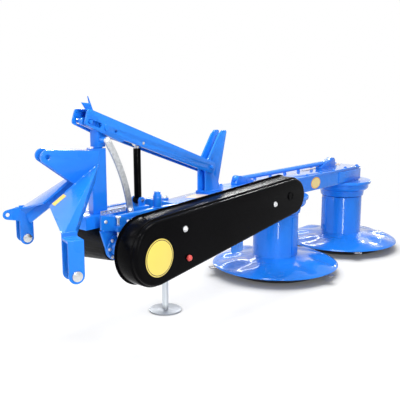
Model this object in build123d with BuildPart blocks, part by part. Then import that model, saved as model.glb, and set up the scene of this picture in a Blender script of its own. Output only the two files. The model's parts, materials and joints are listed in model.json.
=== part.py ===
from build123d import *
import os
from math import cos, hypot, radians, sin

# Two-drum belt-driven mower, parked on its skid dishes and its stand.
# Millimetres. Origin on the floor under the first drum, +X along the cutter bar
# to the outer drum, +Y away from the belt guard's face, +Z up.

# Fits
RUN_FIT = 0.05
SEAT_FIT = 0.02
HINGE_GAP = 0.5

# Drums, skirts, knives and skid dishes
DRUM_SPACING = 800.0
DRUM_RADIUS = 134.0
DRUM_WALL = 5.0
DRUM_TOP = 362.0
DRUM_BASE = 60.0
DRUM_PLATE = 6.0
HUB_RADIUS = 42.0
HUB_HEIGHT = 40.0
CARRIER_RADIUS = 345.0
SKIRT_RADIUS = 375.0
SKIRT_NECK_Z = 118.0
SKIRT_RIM_Z = 55.0
SKIRT_SHEET = 4.0
SKIRT_FLARE = 44.0
SKIRT_FLARE_Z = 92.0
SKIRT_WAVES = 9
SKIRT_WAVE_HEIGHT = 8.0
SKIRT_WAVE_SINK = 55.0
CROP_RIB_WIDTH = 55.0
CROP_RIB_DEPTH = 5.0
CROP_RIB_ENDS = 12.0
KNIVES = 3
KNIFE_WIDTH = 48.0
KNIFE_CORNER = 8.0
KNIFE_SHEET = 4.0
KNIFE_REACH = 38.0
KNIFE_LENGTH = 112.0
KNIFE_BOLT_RADIUS = 11.0
KNIFE_BOLT_SEAT = 50.0
KNIFE_DROP = 6.0
DISH_RADIUS = 315.0
DISH_SOLE_RADIUS = 235.0
DISH_HEIGHT = 44.0
DISH_SHEET = 6.0
DISH_HUB_RADIUS = 55.0
DISH_HUB_TOP = 54.0
AXLE_RADIUS = 22.5
AXLE_END_Z = 12.0

# Gear case and the collars under it
CASE_INNER_X = -450.0
CASE_OUTER_X = 862.0
CASE_HALF_WIDTH = 95.0
CASE_BOTTOM = 470.0
CASE_TOP = 557.0
CASE_CORNER = 14.0
END_BOX_LENGTH = 290.0
END_BOX_DROP = 8.0
COVER_SHEET = 10.0
COVER_OVERHANG = 6.0
COLLAR_FLANGE_RADIUS = 190.0
COLLAR_FLANGE = 22.0
COLLAR_EDGE = 7.0
COLLAR_STEP_RADIUS = 176.0
COLLAR_STEP = 16.0
COLLAR_BOWL = 26.0
COLLAR_BOTTOM_RADIUS = 143.0
COLLAR_GAP = 6.0

# Inner frame
RAIL_INNER_Y = 85.0
RAIL_SHEET = 25.0
RAIL_BOTTOM = 512.0
RAIL_TOP = 567.0
FAR_RAIL_END_X = -947.0
CROSS_SHEET = 28.0
NECK_FAR_START = 5.0
NECK_FAR_MID_X = -640.0
NECK_FAR_MID = 50.0
NECK_FLOOR = 484.0

# Pivots in the bar's own plane: x and z
POST_X = -1352.0
HINGE_Z = 540.0
HINGE_PIN_RADIUS = 15.0
HINGE_BUSH_RADIUS = 30.0
BOOM_PIN_X = -650.0
BOOM_PIN_Z = 700.0
BOOM_PIN_RADIUS = 10.0
GUIDE_X = -1425.0
GUIDE_DROP = 7.0
GUIDE_PIN_RADIUS = 8.0
RAM_BASE_X = -1124.0
RAM_BASE_Z = 592.0
RAM_PIN_RADIUS = 8.0

# Upright that carries the boom pin
UPRIGHT_GAP = 40.0
UPRIGHT_SHEET = 10.0
UPRIGHT_TOP_Z = 880.0
UPRIGHT_BASE_SHEET = 8.0
UPRIGHT_BASE_LENGTH = 120.0
UPRIGHT_EYE = 26.0
UPRIGHT_SHOULDER = 32.0
UPRIGHT_WAIST = 22.0
UPRIGHT_WAIST_RISE = 50.0
UPRIGHT_LEAN = 43.0
UPRIGHT_TIP = 33.0
UPRIGHT_TIP_DROP = 8.0
UPRIGHT_NOSE = 26.0
UPRIGHT_NOSE_DROP = 18.0
UPRIGHT_WEB_HEIGHT = 120.0
UPRIGHT_WEB_INSET = 30.0

# Boom
BOOM_INNER_Y = 37.0
BOOM_SHEET = 8.0
BOOM_WEB = 5.0
BOOM_TAIL = 26.0
BOOM_TAIL_CORNER = 15.0
BOOM_TOP_TAIL = 50.0
BOOM_TOP_ROOT = 30.0
BOOM_SHALLOW = -24.0
BOOM_DEEP = -38.0
BOOM_TAIL_LOW = -18.0
BOOM_STEP = 618.0
BOOM_STEP_RUN = 10.0
BOOM_WEB_START = 80.0
BOOM_BOSS_AT = 728.0
BOOM_BOSS_RADIUS = 14.0
BOOM_BOSS_HEIGHT = 6.0
BOOM_HOLE_AT = 674.0
BOOM_HOLE_RADIUS = 7.0
HOOK_FOOT = 42.0
HOOK_BACK = 26.0
HOOK_TIP_RISE = 57.0
HOOK_TIP_BACK = 17.0
HOOK_NOTCH_RISE = 31.0
HOOK_SPUR_RISE = 22.0
HOOK_SPUR_REACH = 7.0
SLOT_TRAVEL = 51.0
SLOT_PLAY = 3.0
ROD_PIN_AT = 500.0
ROD_PIN_DROP = -6.0
ROD_PIN_RADIUS = 7.0
ROD_EYE_PLAY = 0.8

# Lift cylinder
BARREL_RADIUS = 17.0
BARREL_CLEAR = 26.0
BARREL_EYE_RADIUS = 17.0
BARREL_EYE_WIDTH = 36.0
BARREL_NECK = 2.0
BARREL_FLOOR = 10.0
ROD_RADIUS = 11.0
ROD_START = 60.0
ROD_EYE_RADIUS = 17.0
ROD_EYE_WIDTH = 30.0

# Swing post
FOOT_HALF_WIDTH = 50.0
FOOT_BOTTOM = 516.0
FOOT_TOP = 570.0
FOOT_LEFT = 117.0
FOOT_RIGHT = 24.0
RAM_EAR_SHEET = 10.0
RAM_PIN_PROUD = 6.0
JOURNAL_RADIUS = 20.0
HEAD_GAP = 5.0
HEAD_WIDTH = 50.0
HEAD_RISE = 122.0
GUIDE_EAR_HALF = 12.0
GUIDE_EYE_RADIUS = 17.0
GUIDE_EAR_DEPTH = 46.0
STAY_NEAR_Y = -66.0
STAY_SHEET = 8.0
STAY_WIDTH = 32.0
STAY_BOLT_RADIUS = 14.0
STAY_TOP_DROP = 88.0
STAY_MID_X = -1272.0
STAY_MID_Z = 728.0
STAY_FOOT_X = -1230.0

# Headstock, turned about the post from straight across
HITCH_TURN = 70.9
HITCH_HALF_SPAN = 341.5
HITCH_FORWARD = 240.0
HITCH_PIN_Z = 420.0
HITCH_PIN_RADIUS = 11.0
HITCH_PIN_HEAD_RADIUS = 20.0
HITCH_PIN_HEAD = 8.0
TOP_LINK_FORWARD = 231.0
TOP_LINK_DROP = 23.0
TOP_LINK_BORE = 9.75
HORN_HALF_GAP = 32.0
HORN_SHEET = 12.0
HORN_END_RADIUS = 30.0
HORN_REAR = 13.0
HORN_TOP_DROP = 8.0
HORN_REAR_DEPTH = 68.0
HORN_TIP_FORWARD = 121.0
HORN_TIP_DEPTH = 144.0
COLUMN_TOP = 850.0
COLUMN_REAR = 24.0
COLUMN_FRONT = 40.0
COLUMN_EDGE = 4.0
SPACER_SHEET = 10.0
SPACER_CLEAR = 42.0
LEG_SHEET = 8.0
LEG_FLANGE = 48.0
LEG_REAR_FORWARD = 18.0
LEG_REAR_DEPTH = 64.0
LEG_FRONT_FORWARD = 235.0
LEG_FRONT_DEPTH = 223.0
LEG_FOOT_REAR = 10.0
LEG_FOOT_REAR_DROP = 36.0
LEG_FOOT_FRONT = 21.0
LEG_FOOT_FRONT_DROP = 8.0
LEG_OVERRUN = 1.03
BRACKET_HALF_GAP = 31.0
BRACKET_SHEET = 8.0
BRACKET_HALF_WIDTH = 31.0
BRACKET_TOP = 574.0
BRACKET_OUTER_DROP = 18.0
BRIDGE_SHEET = 10.0
LATCH_EAR_REACH = 83.0
LATCH_EAR_RISE = 116.0
LATCH_EAR_RADIUS = 22.0
LATCH_EAR_HOLE = 9.0

# Belt guard and the drive behind it
GUARD_FRONT_Y = -360.0
GUARD_BACK_Y = -250.0
GUARD_SHEET = 4.0
GUARD_EDGE = 16.0
GUARD_LIP = 6.0
GUARD_STEP = 7.0
GUARD_STEP_DEPTH = 26.0
DRIVE_X = -1345.0
DRIVE_Z = 445.0
DRIVE_RADIUS = 142.0
DRIVEN_X = -352.0
DRIVEN_Z = 545.0
DRIVEN_RADIUS = 98.0
PTO_Z = 430.0
HANGER_SHEET = 12.0
HANGER_RADIUS = 57.0
HANGER_REACH = 85.0
HANGER_INSET = 13.0
GUSSET_SHEET = 12.0
GUSSET_LEFT = 101.0
GUSSET_LEFT_TOP = 586.0
GUSSET_LEFT_LOW = 523.0
GUSSET_FOOT = 50.0
GUSSET_RIGHT = 95.0
GUSSET_RIGHT_TOP = 548.0
HOUSING_RADIUS = 42.0
FLANGE_RADIUS = 57.0
FLANGE_SHEET = 12.0
SHIELD_RADIUS = 82.0
SHIELD_ROOT_RADIUS = 62.0
SHIELD_WALL = 5.0
SHIELD_END_Y = 140.0
STUB_RADIUS = 17.45
STUB_END_Y = 95.0
SPLINES = 6
SPLINE_WIDTH = 8.7
SPLINE_DEPTH = 2.6
SPLINE_LENGTH = 80.0
DRIVEN_HOUSING_Z = 513.5
DRIVEN_HOUSING_RADIUS = 34.0
DRIVEN_FLANGE_RADIUS = 41.0

# Stand, guard rod and small pieces
STAND_X = -926.0
STAND_Y = 24.0
STAND_LEG_RADIUS = 15.5
STAND_FOOT_RADIUS = 81.0
STAND_FOOT_SHEET = 8.0
STAND_LEG_TOP = 582.0
STAND_SLEEVE_RADIUS = 21.0
STAND_SLEEVE_BOTTOM = 490.0
STAND_SLEEVE_TOP = 573.0
GUARD_ROD_RADIUS = 13.5
GUARD_ROD_Y = 30.0
GUARD_ROD_LIFT = 31.0
LUG_WIDTH = 40.0
LUG_FOOT = 12.0
LUG_EYE_INSET = 30.0
LOCK_PIN_RADIUS = 6.0
LOCK_PIN_X = -1366.0
LOCK_PIN_BOTTOM = 484.0
LOCK_PIN_TOP = 566.0
LOCK_GUIDE_WIDTH = 24.0
LOCK_GUIDE_Z = 520.0
LATCH_TUBE_X = -1096.0
LATCH_TUBE_RADIUS = 19.5
LATCH_TUBE_HEIGHT = 58.0
LATCH_CAP_RADIUS = 15.0
LATCH_CAP_HEIGHT = 14.0
GUARD_BRACKET_X = -690.0
GUARD_BRACKET_WIDTH = 90.0
GUARD_BRACKET_BOTTOM = 298.0
GUARD_BRACKET_TOP = 440.0
GUARD_BRACKET_SHEET = 6.0
GUARD_BRACKET_FLANGE = 40.0
GUARD_BRACKET_CORNER = 14.0

COVER_TOP = CASE_TOP + COVER_SHEET
CASE_MID_X = (CASE_INNER_X + CASE_OUTER_X) / 2
CASE_LENGTH = CASE_OUTER_X - CASE_INNER_X

os.makedirs("parts", exist_ok=True)


def write(piece, name):
    piece.label = name
    export_step(piece, f"parts/{name}.step")


def bar_plane(y):
    # Sketches in x and z; extruding goes towards -Y, the guard's side.
    return Plane.XZ.offset(-y)


def hitch_point(across, forward, z):
    turn = radians(HITCH_TURN)
    x = POST_X + across * cos(turn) - forward * sin(turn)
    y = across * sin(turn) + forward * cos(turn)
    return (x, y, z)


def hitch_side(across):
    # Sketches in forward and z; extruding goes across, towards the far pin.
    turn = radians(HITCH_TURN)
    return Plane(hitch_point(across, 0, 0), x_dir=(-sin(turn), cos(turn), 0), z_dir=(cos(turn), sin(turn), 0))


# Drums: name, axis x, angle of the first crop rib, angle of the first knife
DRUMS = [
    ("1", 0.0, -89.0, 147.0),
    ("2", DRUM_SPACING, 150.0, 225.0),
]

skirt_drop_radius = CARRIER_RADIUS
skirt_drop_z = DRUM_BASE + DRUM_PLATE + SKIRT_SHEET
knife_top = DRUM_BASE - KNIFE_DROP
knife_outer = SKIRT_RADIUS + KNIFE_REACH
collar_bottom = DRUM_TOP + COLLAR_GAP
flange_bottom = CASE_BOTTOM - COLLAR_FLANGE
step_bottom = flange_bottom - COLLAR_STEP
flare_radius = DRUM_RADIUS + SKIRT_FLARE
slope = Vector(skirt_drop_radius - flare_radius, skirt_drop_z - SKIRT_FLARE_Z).normalized()
sink = Vector(slope.Y, -slope.X) * SKIRT_WAVE_SINK
wave_start = Vector(flare_radius, SKIRT_FLARE_Z)
wave_end = Vector(skirt_drop_radius, skirt_drop_z)
wave_top = (wave_start + wave_end) / 2 - sink.normalized() * SKIRT_WAVE_HEIGHT

# One pressed wave of the skirt: a barrel that lies along the sheet, with what is under the sheet cut off
with BuildPart() as wave:
    with BuildSketch(Plane.XZ):
        with BuildLine():
            ThreePointArc(wave_start, wave_top, wave_end)
            Polyline(wave_end, wave_end + sink, wave_start + sink, wave_start)
        make_face()
    barrel_foot = wave_start + sink
    revolve(axis=Axis((barrel_foot.X, 0, barrel_foot.Y), (slope.X, 0, slope.Y)))
    with BuildSketch(Plane.XZ):
        with BuildLine():
            Polyline(
                (0, SKIRT_FLARE_Z - SKIRT_SHEET),
                (flare_radius, SKIRT_FLARE_Z - SKIRT_SHEET),
                (skirt_drop_radius, skirt_drop_z - SKIRT_SHEET),
                (2 * SKIRT_RADIUS, skirt_drop_z - SKIRT_SHEET),
                (2 * SKIRT_RADIUS, -2 * SKIRT_WAVE_SINK),
                (0, -2 * SKIRT_WAVE_SINK),
                close=True,
            )
        make_face()
    revolve(axis=Axis.Z, mode=Mode.SUBTRACT)

# Pressed skirt: a flared sheet with a turned-down rim and raised radial waves
with BuildPart() as pressed_skirt:
    with BuildSketch(Plane.XZ):
        with BuildLine():
            top = Polyline(
                (DRUM_RADIUS, SKIRT_NECK_Z - SKIRT_SHEET),
                (DRUM_RADIUS, SKIRT_NECK_Z),
                (flare_radius, SKIRT_FLARE_Z),
                (skirt_drop_radius, skirt_drop_z),
            )
            rim = RadiusArc(
                (skirt_drop_radius, skirt_drop_z),
                (SKIRT_RADIUS, SKIRT_RIM_Z),
                SKIRT_RADIUS - skirt_drop_radius,
            )
            Line(rim @ 1, (SKIRT_RADIUS - SKIRT_SHEET, SKIRT_RIM_Z))
            under = RadiusArc(
                (SKIRT_RADIUS - SKIRT_SHEET, SKIRT_RIM_Z),
                (skirt_drop_radius, skirt_drop_z - SKIRT_SHEET),
                skirt_drop_radius - SKIRT_RADIUS,
            )
            Polyline(under @ 1, (flare_radius, SKIRT_FLARE_Z - SKIRT_SHEET), top @ 0)
        make_face()
    revolve(axis=Axis.Z)
    with PolarLocations(0, SKIRT_WAVES):
        add(wave.part)

for name, axis_x, crop_angle, knife_angle in DRUMS:
    drum_plane = Plane.XZ.shift_origin((axis_x, 0, 0))

    # Collar bolted under the case, with the fixed axle that carries drum and dish
    with BuildPart() as drum_carrier:
        with BuildSketch(drum_plane):
            with BuildLine():
                Polyline(
                    (0, CASE_BOTTOM),
                    (COLLAR_FLANGE_RADIUS, CASE_BOTTOM),
                    (COLLAR_FLANGE_RADIUS, flange_bottom),
                    (COLLAR_STEP_RADIUS, flange_bottom),
                    (COLLAR_STEP_RADIUS, step_bottom),
                )
                bowl = RadiusArc(
                    (COLLAR_STEP_RADIUS, step_bottom),
                    (COLLAR_STEP_RADIUS - COLLAR_BOWL, step_bottom - COLLAR_BOWL),
                    COLLAR_BOWL,
                )
                Polyline(
                    bowl @ 1,
                    (COLLAR_BOTTOM_RADIUS, collar_bottom),
                    (AXLE_RADIUS, collar_bottom),
                    (AXLE_RADIUS, AXLE_END_Z),
                    (0, AXLE_END_Z),
                    (0, CASE_BOTTOM),
                )
            make_face()
        revolve(axis=Axis((axis_x, 0, 0), (0, 0, 1)))
        fillet(drum_carrier.edges().filter_by(GeomType.CIRCLE).group_by(SortBy.RADIUS)[-1], COLLAR_EDGE)
    write(drum_carrier.part, f"drum_carrier_{name}")

    # Drum tube with its top plate, knife plate, hubs and upright crop ribs
    with BuildPart() as drum:
        with BuildSketch(drum_plane):
            with BuildLine():
                bore = AXLE_RADIUS + RUN_FIT
                Polyline(
                    (bore, DRUM_TOP),
                    (DRUM_RADIUS, DRUM_TOP),
                    (DRUM_RADIUS, DRUM_BASE + DRUM_PLATE),
                    (CARRIER_RADIUS, DRUM_BASE + DRUM_PLATE),
                    (CARRIER_RADIUS, DRUM_BASE),
                    (bore, DRUM_BASE),
                    (bore, DRUM_BASE + HUB_HEIGHT),
                    (HUB_RADIUS, DRUM_BASE + HUB_HEIGHT),
                    (HUB_RADIUS, DRUM_BASE + DRUM_PLATE),
                    (DRUM_RADIUS - DRUM_WALL, DRUM_BASE + DRUM_PLATE),
                    (DRUM_RADIUS - DRUM_WALL, DRUM_TOP - DRUM_PLATE),
                    (HUB_RADIUS, DRUM_TOP - DRUM_PLATE),
                    (HUB_RADIUS, DRUM_TOP - HUB_HEIGHT),
                    (bore, DRUM_TOP - HUB_HEIGHT),
                    close=True,
                )
            make_face()
        revolve(axis=Axis((axis_x, 0, 0), (0, 0, 1)))
        rib_height = DRUM_TOP - SKIRT_NECK_Z - 2 * CROP_RIB_ENDS
        with Locations((axis_x, 0, SKIRT_NECK_Z + CROP_RIB_ENDS)):
            with PolarLocations(DRUM_RADIUS, 2, start_angle=crop_angle):
                Box(
                    2 * CROP_RIB_DEPTH,
                    CROP_RIB_WIDTH,
                    rib_height,
                    align=(Align.CENTER, Align.CENTER, Align.MIN),
                )
    write(drum.part, f"drum_{name}")

    # Its skirt, shrunk on the drum's foot
    with BuildPart() as skirt:
        with Locations((axis_x, 0, 0)):
            add(pressed_skirt.part)
    write(skirt.part, f"skirt_{name}")

    # Knives hung on bolts under the knife plate
    with BuildPart() as knives:
        for knife in range(KNIVES):
            turn = knife_angle + knife * 360 / KNIVES
            knife_plane = Plane(
                (axis_x, 0, 0), x_dir=(cos(radians(turn)), sin(radians(turn)), 0), z_dir=(0, 0, 1)
            )
            with BuildSketch(knife_plane.offset(knife_top - KNIFE_SHEET)):
                with Locations((knife_outer - KNIFE_LENGTH / 2, 0)):
                    RectangleRounded(KNIFE_LENGTH, KNIFE_WIDTH, KNIFE_CORNER)
            extrude(amount=KNIFE_SHEET)
            with BuildSketch(knife_plane.offset(knife_top)):
                with Locations((knife_outer - KNIFE_LENGTH + KNIFE_BOLT_SEAT / 2, 0)):
                    Circle(KNIFE_BOLT_RADIUS)
            extrude(amount=KNIFE_DROP)
    write(knives.part, f"knives_{name}")

    # Skid dish that turns freely on the axle's end and slides over the ground
    with BuildPart() as dish:
        with BuildSketch(drum_plane):
            with BuildLine():
                sole = Line((0, 0), (DISH_SOLE_RADIUS, 0))
                bowl = TangentArc(sole @ 1, (DISH_RADIUS, DISH_HEIGHT - DISH_SHEET), tangent=(1, 0))
                lip = Line(bowl @ 1, (DISH_RADIUS, DISH_HEIGHT))
                inside = TangentArc(lip @ 1, (DISH_SOLE_RADIUS, DISH_SHEET), tangent=bowl % 1 * -1)
                Polyline(
                    inside @ 1,
                    (DISH_HUB_RADIUS, DISH_SHEET),
                    (DISH_HUB_RADIUS, DISH_HUB_TOP),
                    (AXLE_RADIUS + RUN_FIT, DISH_HUB_TOP),
                    (AXLE_RADIUS + RUN_FIT, DISH_SHEET),
                    (0, DISH_SHEET),
                    (0, 0),
                )
            make_face()
        revolve(axis=Axis((axis_x, 0, 0), (0, 0, 1)))
    write(dish.part, f"skid_dish_{name}")

# Gear case: a long flat box with a deeper bolted box over the outer drum
with BuildPart() as gear_case:
    with Locations((CASE_MID_X, 0, CASE_BOTTOM)):
        Box(
            CASE_LENGTH,
            2 * CASE_HALF_WIDTH,
            CASE_TOP - CASE_BOTTOM,
            align=(Align.CENTER, Align.CENTER, Align.MIN),
        )
    fillet(gear_case.edges().filter_by(Axis.Z), CASE_CORNER)
    with Locations((CASE_OUTER_X - END_BOX_LENGTH / 2, 0, CASE_BOTTOM + END_BOX_DROP)):
        Box(
            END_BOX_LENGTH,
            2 * (CASE_HALF_WIDTH + COVER_OVERHANG),
            CASE_TOP - CASE_BOTTOM - 2 * END_BOX_DROP,
            align=(Align.CENTER, Align.CENTER, Align.MIN),
        )
write(gear_case.part, "gear_case")

with BuildPart() as case_cover:
    with BuildSketch(Plane.XY.offset(CASE_TOP)):
        with Locations((CASE_MID_X + COVER_OVERHANG / 2, 0)):
            RectangleRounded(
                CASE_LENGTH + COVER_OVERHANG,
                2 * (CASE_HALF_WIDTH + COVER_OVERHANG),
                CASE_CORNER,
            )
    extrude(amount=COVER_SHEET)
    chamfer(case_cover.faces().sort_by(Axis.Z)[-1].edges(), COVER_SHEET / 5)
write(case_cover.part, "case_cover")

# Inner frame: two rails from the hinge, a cross plate and a neck that widens to the case
rail_outer = RAIL_INNER_Y + RAIL_SHEET
neck_start = FAR_RAIL_END_X - CROSS_SHEET
with BuildPart() as inner_frame:
    for rail_y, rail_end in [(-RAIL_INNER_Y, CASE_INNER_X), (rail_outer, FAR_RAIL_END_X)]:
        with BuildSketch(bar_plane(rail_y)):
            with BuildLine():
                Polyline(
                    (POST_X, RAIL_TOP),
                    (rail_end, RAIL_TOP),
                    (rail_end, RAIL_BOTTOM),
                    (POST_X, RAIL_BOTTOM),
                )
                ThreePointArc(
                    (POST_X, RAIL_BOTTOM),
                    (POST_X - (RAIL_TOP - RAIL_BOTTOM) / 2, (RAIL_TOP + RAIL_BOTTOM) / 2),
                    (POST_X, RAIL_TOP),
                )
            make_face()
            with Locations((POST_X, HINGE_Z)):
                Circle(HINGE_PIN_RADIUS + SEAT_FIT, mode=Mode.SUBTRACT)
        extrude(amount=RAIL_SHEET)
    with Locations((neck_start, 0, RAIL_BOTTOM)):
        Box(CROSS_SHEET, 2 * RAIL_INNER_Y, RAIL_TOP - RAIL_BOTTOM, align=(Align.MIN, Align.CENTER, Align.MIN))
    with BuildSketch(Plane.XY.offset(NECK_FLOOR)):
        with BuildLine():
            Polyline(
                (FAR_RAIL_END_X, -RAIL_INNER_Y),
                (CASE_INNER_X, -RAIL_INNER_Y),
                (CASE_INNER_X, CASE_HALF_WIDTH),
                (NECK_FAR_MID_X, NECK_FAR_MID),
                (FAR_RAIL_END_X, NECK_FAR_START),
                close=True,
            )
        make_face()
    extrude(amount=RAIL_TOP - NECK_FLOOR)
    with BuildSketch(Plane.XY.offset(NECK_FLOOR)):
        with Locations((STAND_X, STAND_Y)):
            Circle(STAND_SLEEVE_RADIUS)
    extrude(amount=RAIL_TOP - NECK_FLOOR, mode=Mode.SUBTRACT)
write(inner_frame.part, "inner_frame")

with BuildPart() as hinge_pin:
    with BuildSketch(bar_plane(rail_outer)):
        with Locations((POST_X, HINGE_Z)):
            Circle(HINGE_PIN_RADIUS)
    extrude(amount=2 * rail_outer)
write(hinge_pin.part, "hinge_pin")

# Upright: two tapered plates on a base plate, tied by a web
upright_face = UPRIGHT_GAP / 2 + UPRIGHT_SHEET
upright_left = BOOM_PIN_X - UPRIGHT_EYE
upright_right = upright_left + UPRIGHT_BASE_LENGTH
upright_tip = upright_right + UPRIGHT_LEAN - UPRIGHT_TIP
with BuildPart() as upright:
    with BuildSketch(bar_plane(upright_face)):
        with BuildLine():
            Polyline(
                (upright_left, RAIL_TOP),
                (upright_right, RAIL_TOP),
                (upright_right - UPRIGHT_WAIST, RAIL_TOP + UPRIGHT_WAIST_RISE),
                (upright_right + UPRIGHT_LEAN, UPRIGHT_TOP_Z - UPRIGHT_TIP_DROP),
                (upright_right + UPRIGHT_LEAN - UPRIGHT_TIP_DROP, UPRIGHT_TOP_Z),
                (upright_tip, UPRIGHT_TOP_Z),
                (upright_tip - UPRIGHT_NOSE, UPRIGHT_TOP_Z - UPRIGHT_NOSE_DROP),
                (upright_left + UPRIGHT_EYE / 2, BOOM_PIN_Z + UPRIGHT_SHOULDER),
                (upright_left, BOOM_PIN_Z),
                close=True,
            )
        make_face()
        with Locations((BOOM_PIN_X, BOOM_PIN_Z)):
            Circle(BOOM_PIN_RADIUS + SEAT_FIT, mode=Mode.SUBTRACT)
    extrude(amount=2 * upright_face)
    with Locations((upright_left, 0, RAIL_TOP + UPRIGHT_BASE_SHEET)):
        Box(
            UPRIGHT_BASE_LENGTH + UPRIGHT_LEAN,
            UPRIGHT_GAP,
            UPRIGHT_TOP_Z,
            align=(Align.MIN, Align.CENTER, Align.MIN),
            mode=Mode.SUBTRACT,
        )
    with Locations((upright_left, 0, RAIL_TOP)):
        Box(
            UPRIGHT_BASE_LENGTH,
            2 * (upright_face + UPRIGHT_SHEET),
            UPRIGHT_BASE_SHEET,
            align=(Align.MIN, Align.CENTER, Align.MIN),
        )
    with Locations((upright_right - UPRIGHT_WEB_INSET, 0, RAIL_TOP + UPRIGHT_BASE_SHEET)):
        Box(
            UPRIGHT_SHEET,
            UPRIGHT_GAP,
            UPRIGHT_WEB_HEIGHT,
            align=(Align.CENTER, Align.CENTER, Align.MIN),
        )
write(upright.part, "upright")

boom_outer = BOOM_INNER_Y + BOOM_SHEET
with BuildPart() as boom_pin:
    with BuildSketch(bar_plane(boom_outer + BOOM_SHEET)):
        with Locations((BOOM_PIN_X, BOOM_PIN_Z)):
            Circle(BOOM_PIN_RADIUS)
    extrude(amount=2 * (boom_outer + BOOM_SHEET))
write(boom_pin.part, "boom_pin")

# Rod over the case that carries the front guard, clamped in two lugs
rod_z = COVER_TOP + GUARD_ROD_LIFT
LUGS = [
    # left end, right end, which end the eye is at, eye radius
    (-372.0, -213.0, -1, 20.0),
    (525.0, 710.0, 1, 29.0),
]
with BuildPart() as guard_rod:
    with BuildSketch(Plane.YZ.offset(LUGS[0][0])):
        with Locations((GUARD_ROD_Y, rod_z)):
            Circle(GUARD_ROD_RADIUS)
    extrude(amount=LUGS[1][1] - LUGS[0][0])
    for left, right, end, eye_radius in LUGS:
        eye_at = (left + right) / 2 + end * ((right - left) / 2 - LUG_EYE_INSET)
        with BuildSketch(bar_plane(GUARD_ROD_Y + LUG_WIDTH / 2)):
            with Locations((eye_at, rod_z)):
                Circle(eye_radius)
            with Locations((left, COVER_TOP)):
                Rectangle(right - left, LUG_FOOT, align=(Align.MIN, Align.MIN))
            make_hull()
        extrude(amount=LUG_WIDTH)
write(guard_rod.part, "guard_rod")

# Belt guard: a pressed cover over both pulleys and its back plate
with BuildPart() as guard_cover:
    with BuildSketch(bar_plane(GUARD_BACK_Y)):
        with Locations((DRIVE_X, DRIVE_Z)):
            Circle(DRIVE_RADIUS)
        with Locations((DRIVEN_X, DRIVEN_Z)):
            Circle(DRIVEN_RADIUS)
        make_hull()
    extrude(amount=GUARD_BACK_Y - GUARD_FRONT_Y - GUARD_STEP_DEPTH)
    with BuildSketch(bar_plane(GUARD_FRONT_Y + GUARD_STEP_DEPTH)):
        with Locations((DRIVE_X, DRIVE_Z)):
            Circle(DRIVE_RADIUS - GUARD_STEP)
        with Locations((DRIVEN_X, DRIVEN_Z)):
            Circle(DRIVEN_RADIUS - GUARD_STEP)
        make_hull()
    extrude(amount=GUARD_STEP_DEPTH)
    fillet(guard_cover.faces().sort_by(Axis.Y)[0].edges(), GUARD_EDGE)
    with BuildSketch(bar_plane(GUARD_BACK_Y)):
        with Locations((DRIVE_X, DRIVE_Z)):
            Circle(DRIVE_RADIUS - GUARD_STEP - GUARD_SHEET)
        with Locations((DRIVEN_X, DRIVEN_Z)):
            Circle(DRIVEN_RADIUS - GUARD_STEP - GUARD_SHEET)
        make_hull()
    extrude(amount=GUARD_BACK_Y - GUARD_FRONT_Y - GUARD_EDGE, mode=Mode.SUBTRACT)
write(guard_cover.part, "guard_cover")

with BuildPart() as guard_back:
    with BuildSketch(bar_plane(GUARD_BACK_Y + GUARD_SHEET)):
        with Locations((DRIVE_X, DRIVE_Z)):
            Circle(DRIVE_RADIUS + GUARD_LIP)
        with Locations((DRIVEN_X, DRIVEN_Z)):
            Circle(DRIVEN_RADIUS + GUARD_LIP)
        make_hull()
    extrude(amount=GUARD_SHEET)
write(guard_back.part, "guard_back")

# Folded bracket under the guard's back plate
with BuildPart() as guard_bracket:
    with BuildSketch(bar_plane(GUARD_BACK_Y + GUARD_SHEET + GUARD_BRACKET_SHEET)):
        with Locations((GUARD_BRACKET_X, (GUARD_BRACKET_BOTTOM + GUARD_BRACKET_TOP) / 2)):
            RectangleRounded(
                GUARD_BRACKET_WIDTH,
                GUARD_BRACKET_TOP - GUARD_BRACKET_BOTTOM,
                GUARD_BRACKET_CORNER,
            )
    extrude(amount=GUARD_BRACKET_SHEET)
    with Locations((GUARD_BRACKET_X, GUARD_BACK_Y + GUARD_SHEET, GUARD_BRACKET_TOP)):
        Box(
            GUARD_BRACKET_WIDTH - 2 * GUARD_BRACKET_CORNER,
            GUARD_BRACKET_FLANGE,
            GUARD_BRACKET_SHEET,
            align=(Align.CENTER, Align.MIN, Align.MAX),
        )
write(guard_bracket.part, "guard_bracket")

# Gusset plate on the near rail's outer face, with the guide of the locking pin
lock_pin_y = -rail_outer - GUSSET_SHEET - LOCK_GUIDE_WIDTH / 2
with BuildPart() as rail_gusset:
    with BuildSketch(bar_plane(-rail_outer)):
        with BuildLine():
            Polyline(
                (DRIVE_X - GUSSET_LEFT, GUSSET_LEFT_TOP),
                (DRIVE_X + GUSSET_RIGHT, GUSSET_RIGHT_TOP),
                (DRIVE_X + GUSSET_RIGHT, RAIL_BOTTOM),
                (DRIVE_X - GUSSET_FOOT, RAIL_BOTTOM),
                (DRIVE_X - GUSSET_LEFT, GUSSET_LEFT_LOW),
                close=True,
            )
        make_face()
    extrude(amount=GUSSET_SHEET)
    with Locations((LOCK_PIN_X, lock_pin_y, LOCK_GUIDE_Z)):
        Box(LOCK_GUIDE_WIDTH, LOCK_GUIDE_WIDTH, LOCK_GUIDE_WIDTH)
    with BuildSketch(Plane.XY.offset(LOCK_PIN_BOTTOM)):
        with Locations((LOCK_PIN_X, lock_pin_y)):
            Circle(LOCK_PIN_RADIUS + SEAT_FIT)
    extrude(amount=LOCK_PIN_TOP - LOCK_PIN_BOTTOM, mode=Mode.SUBTRACT)
write(rail_gusset.part, "rail_gusset")

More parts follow.
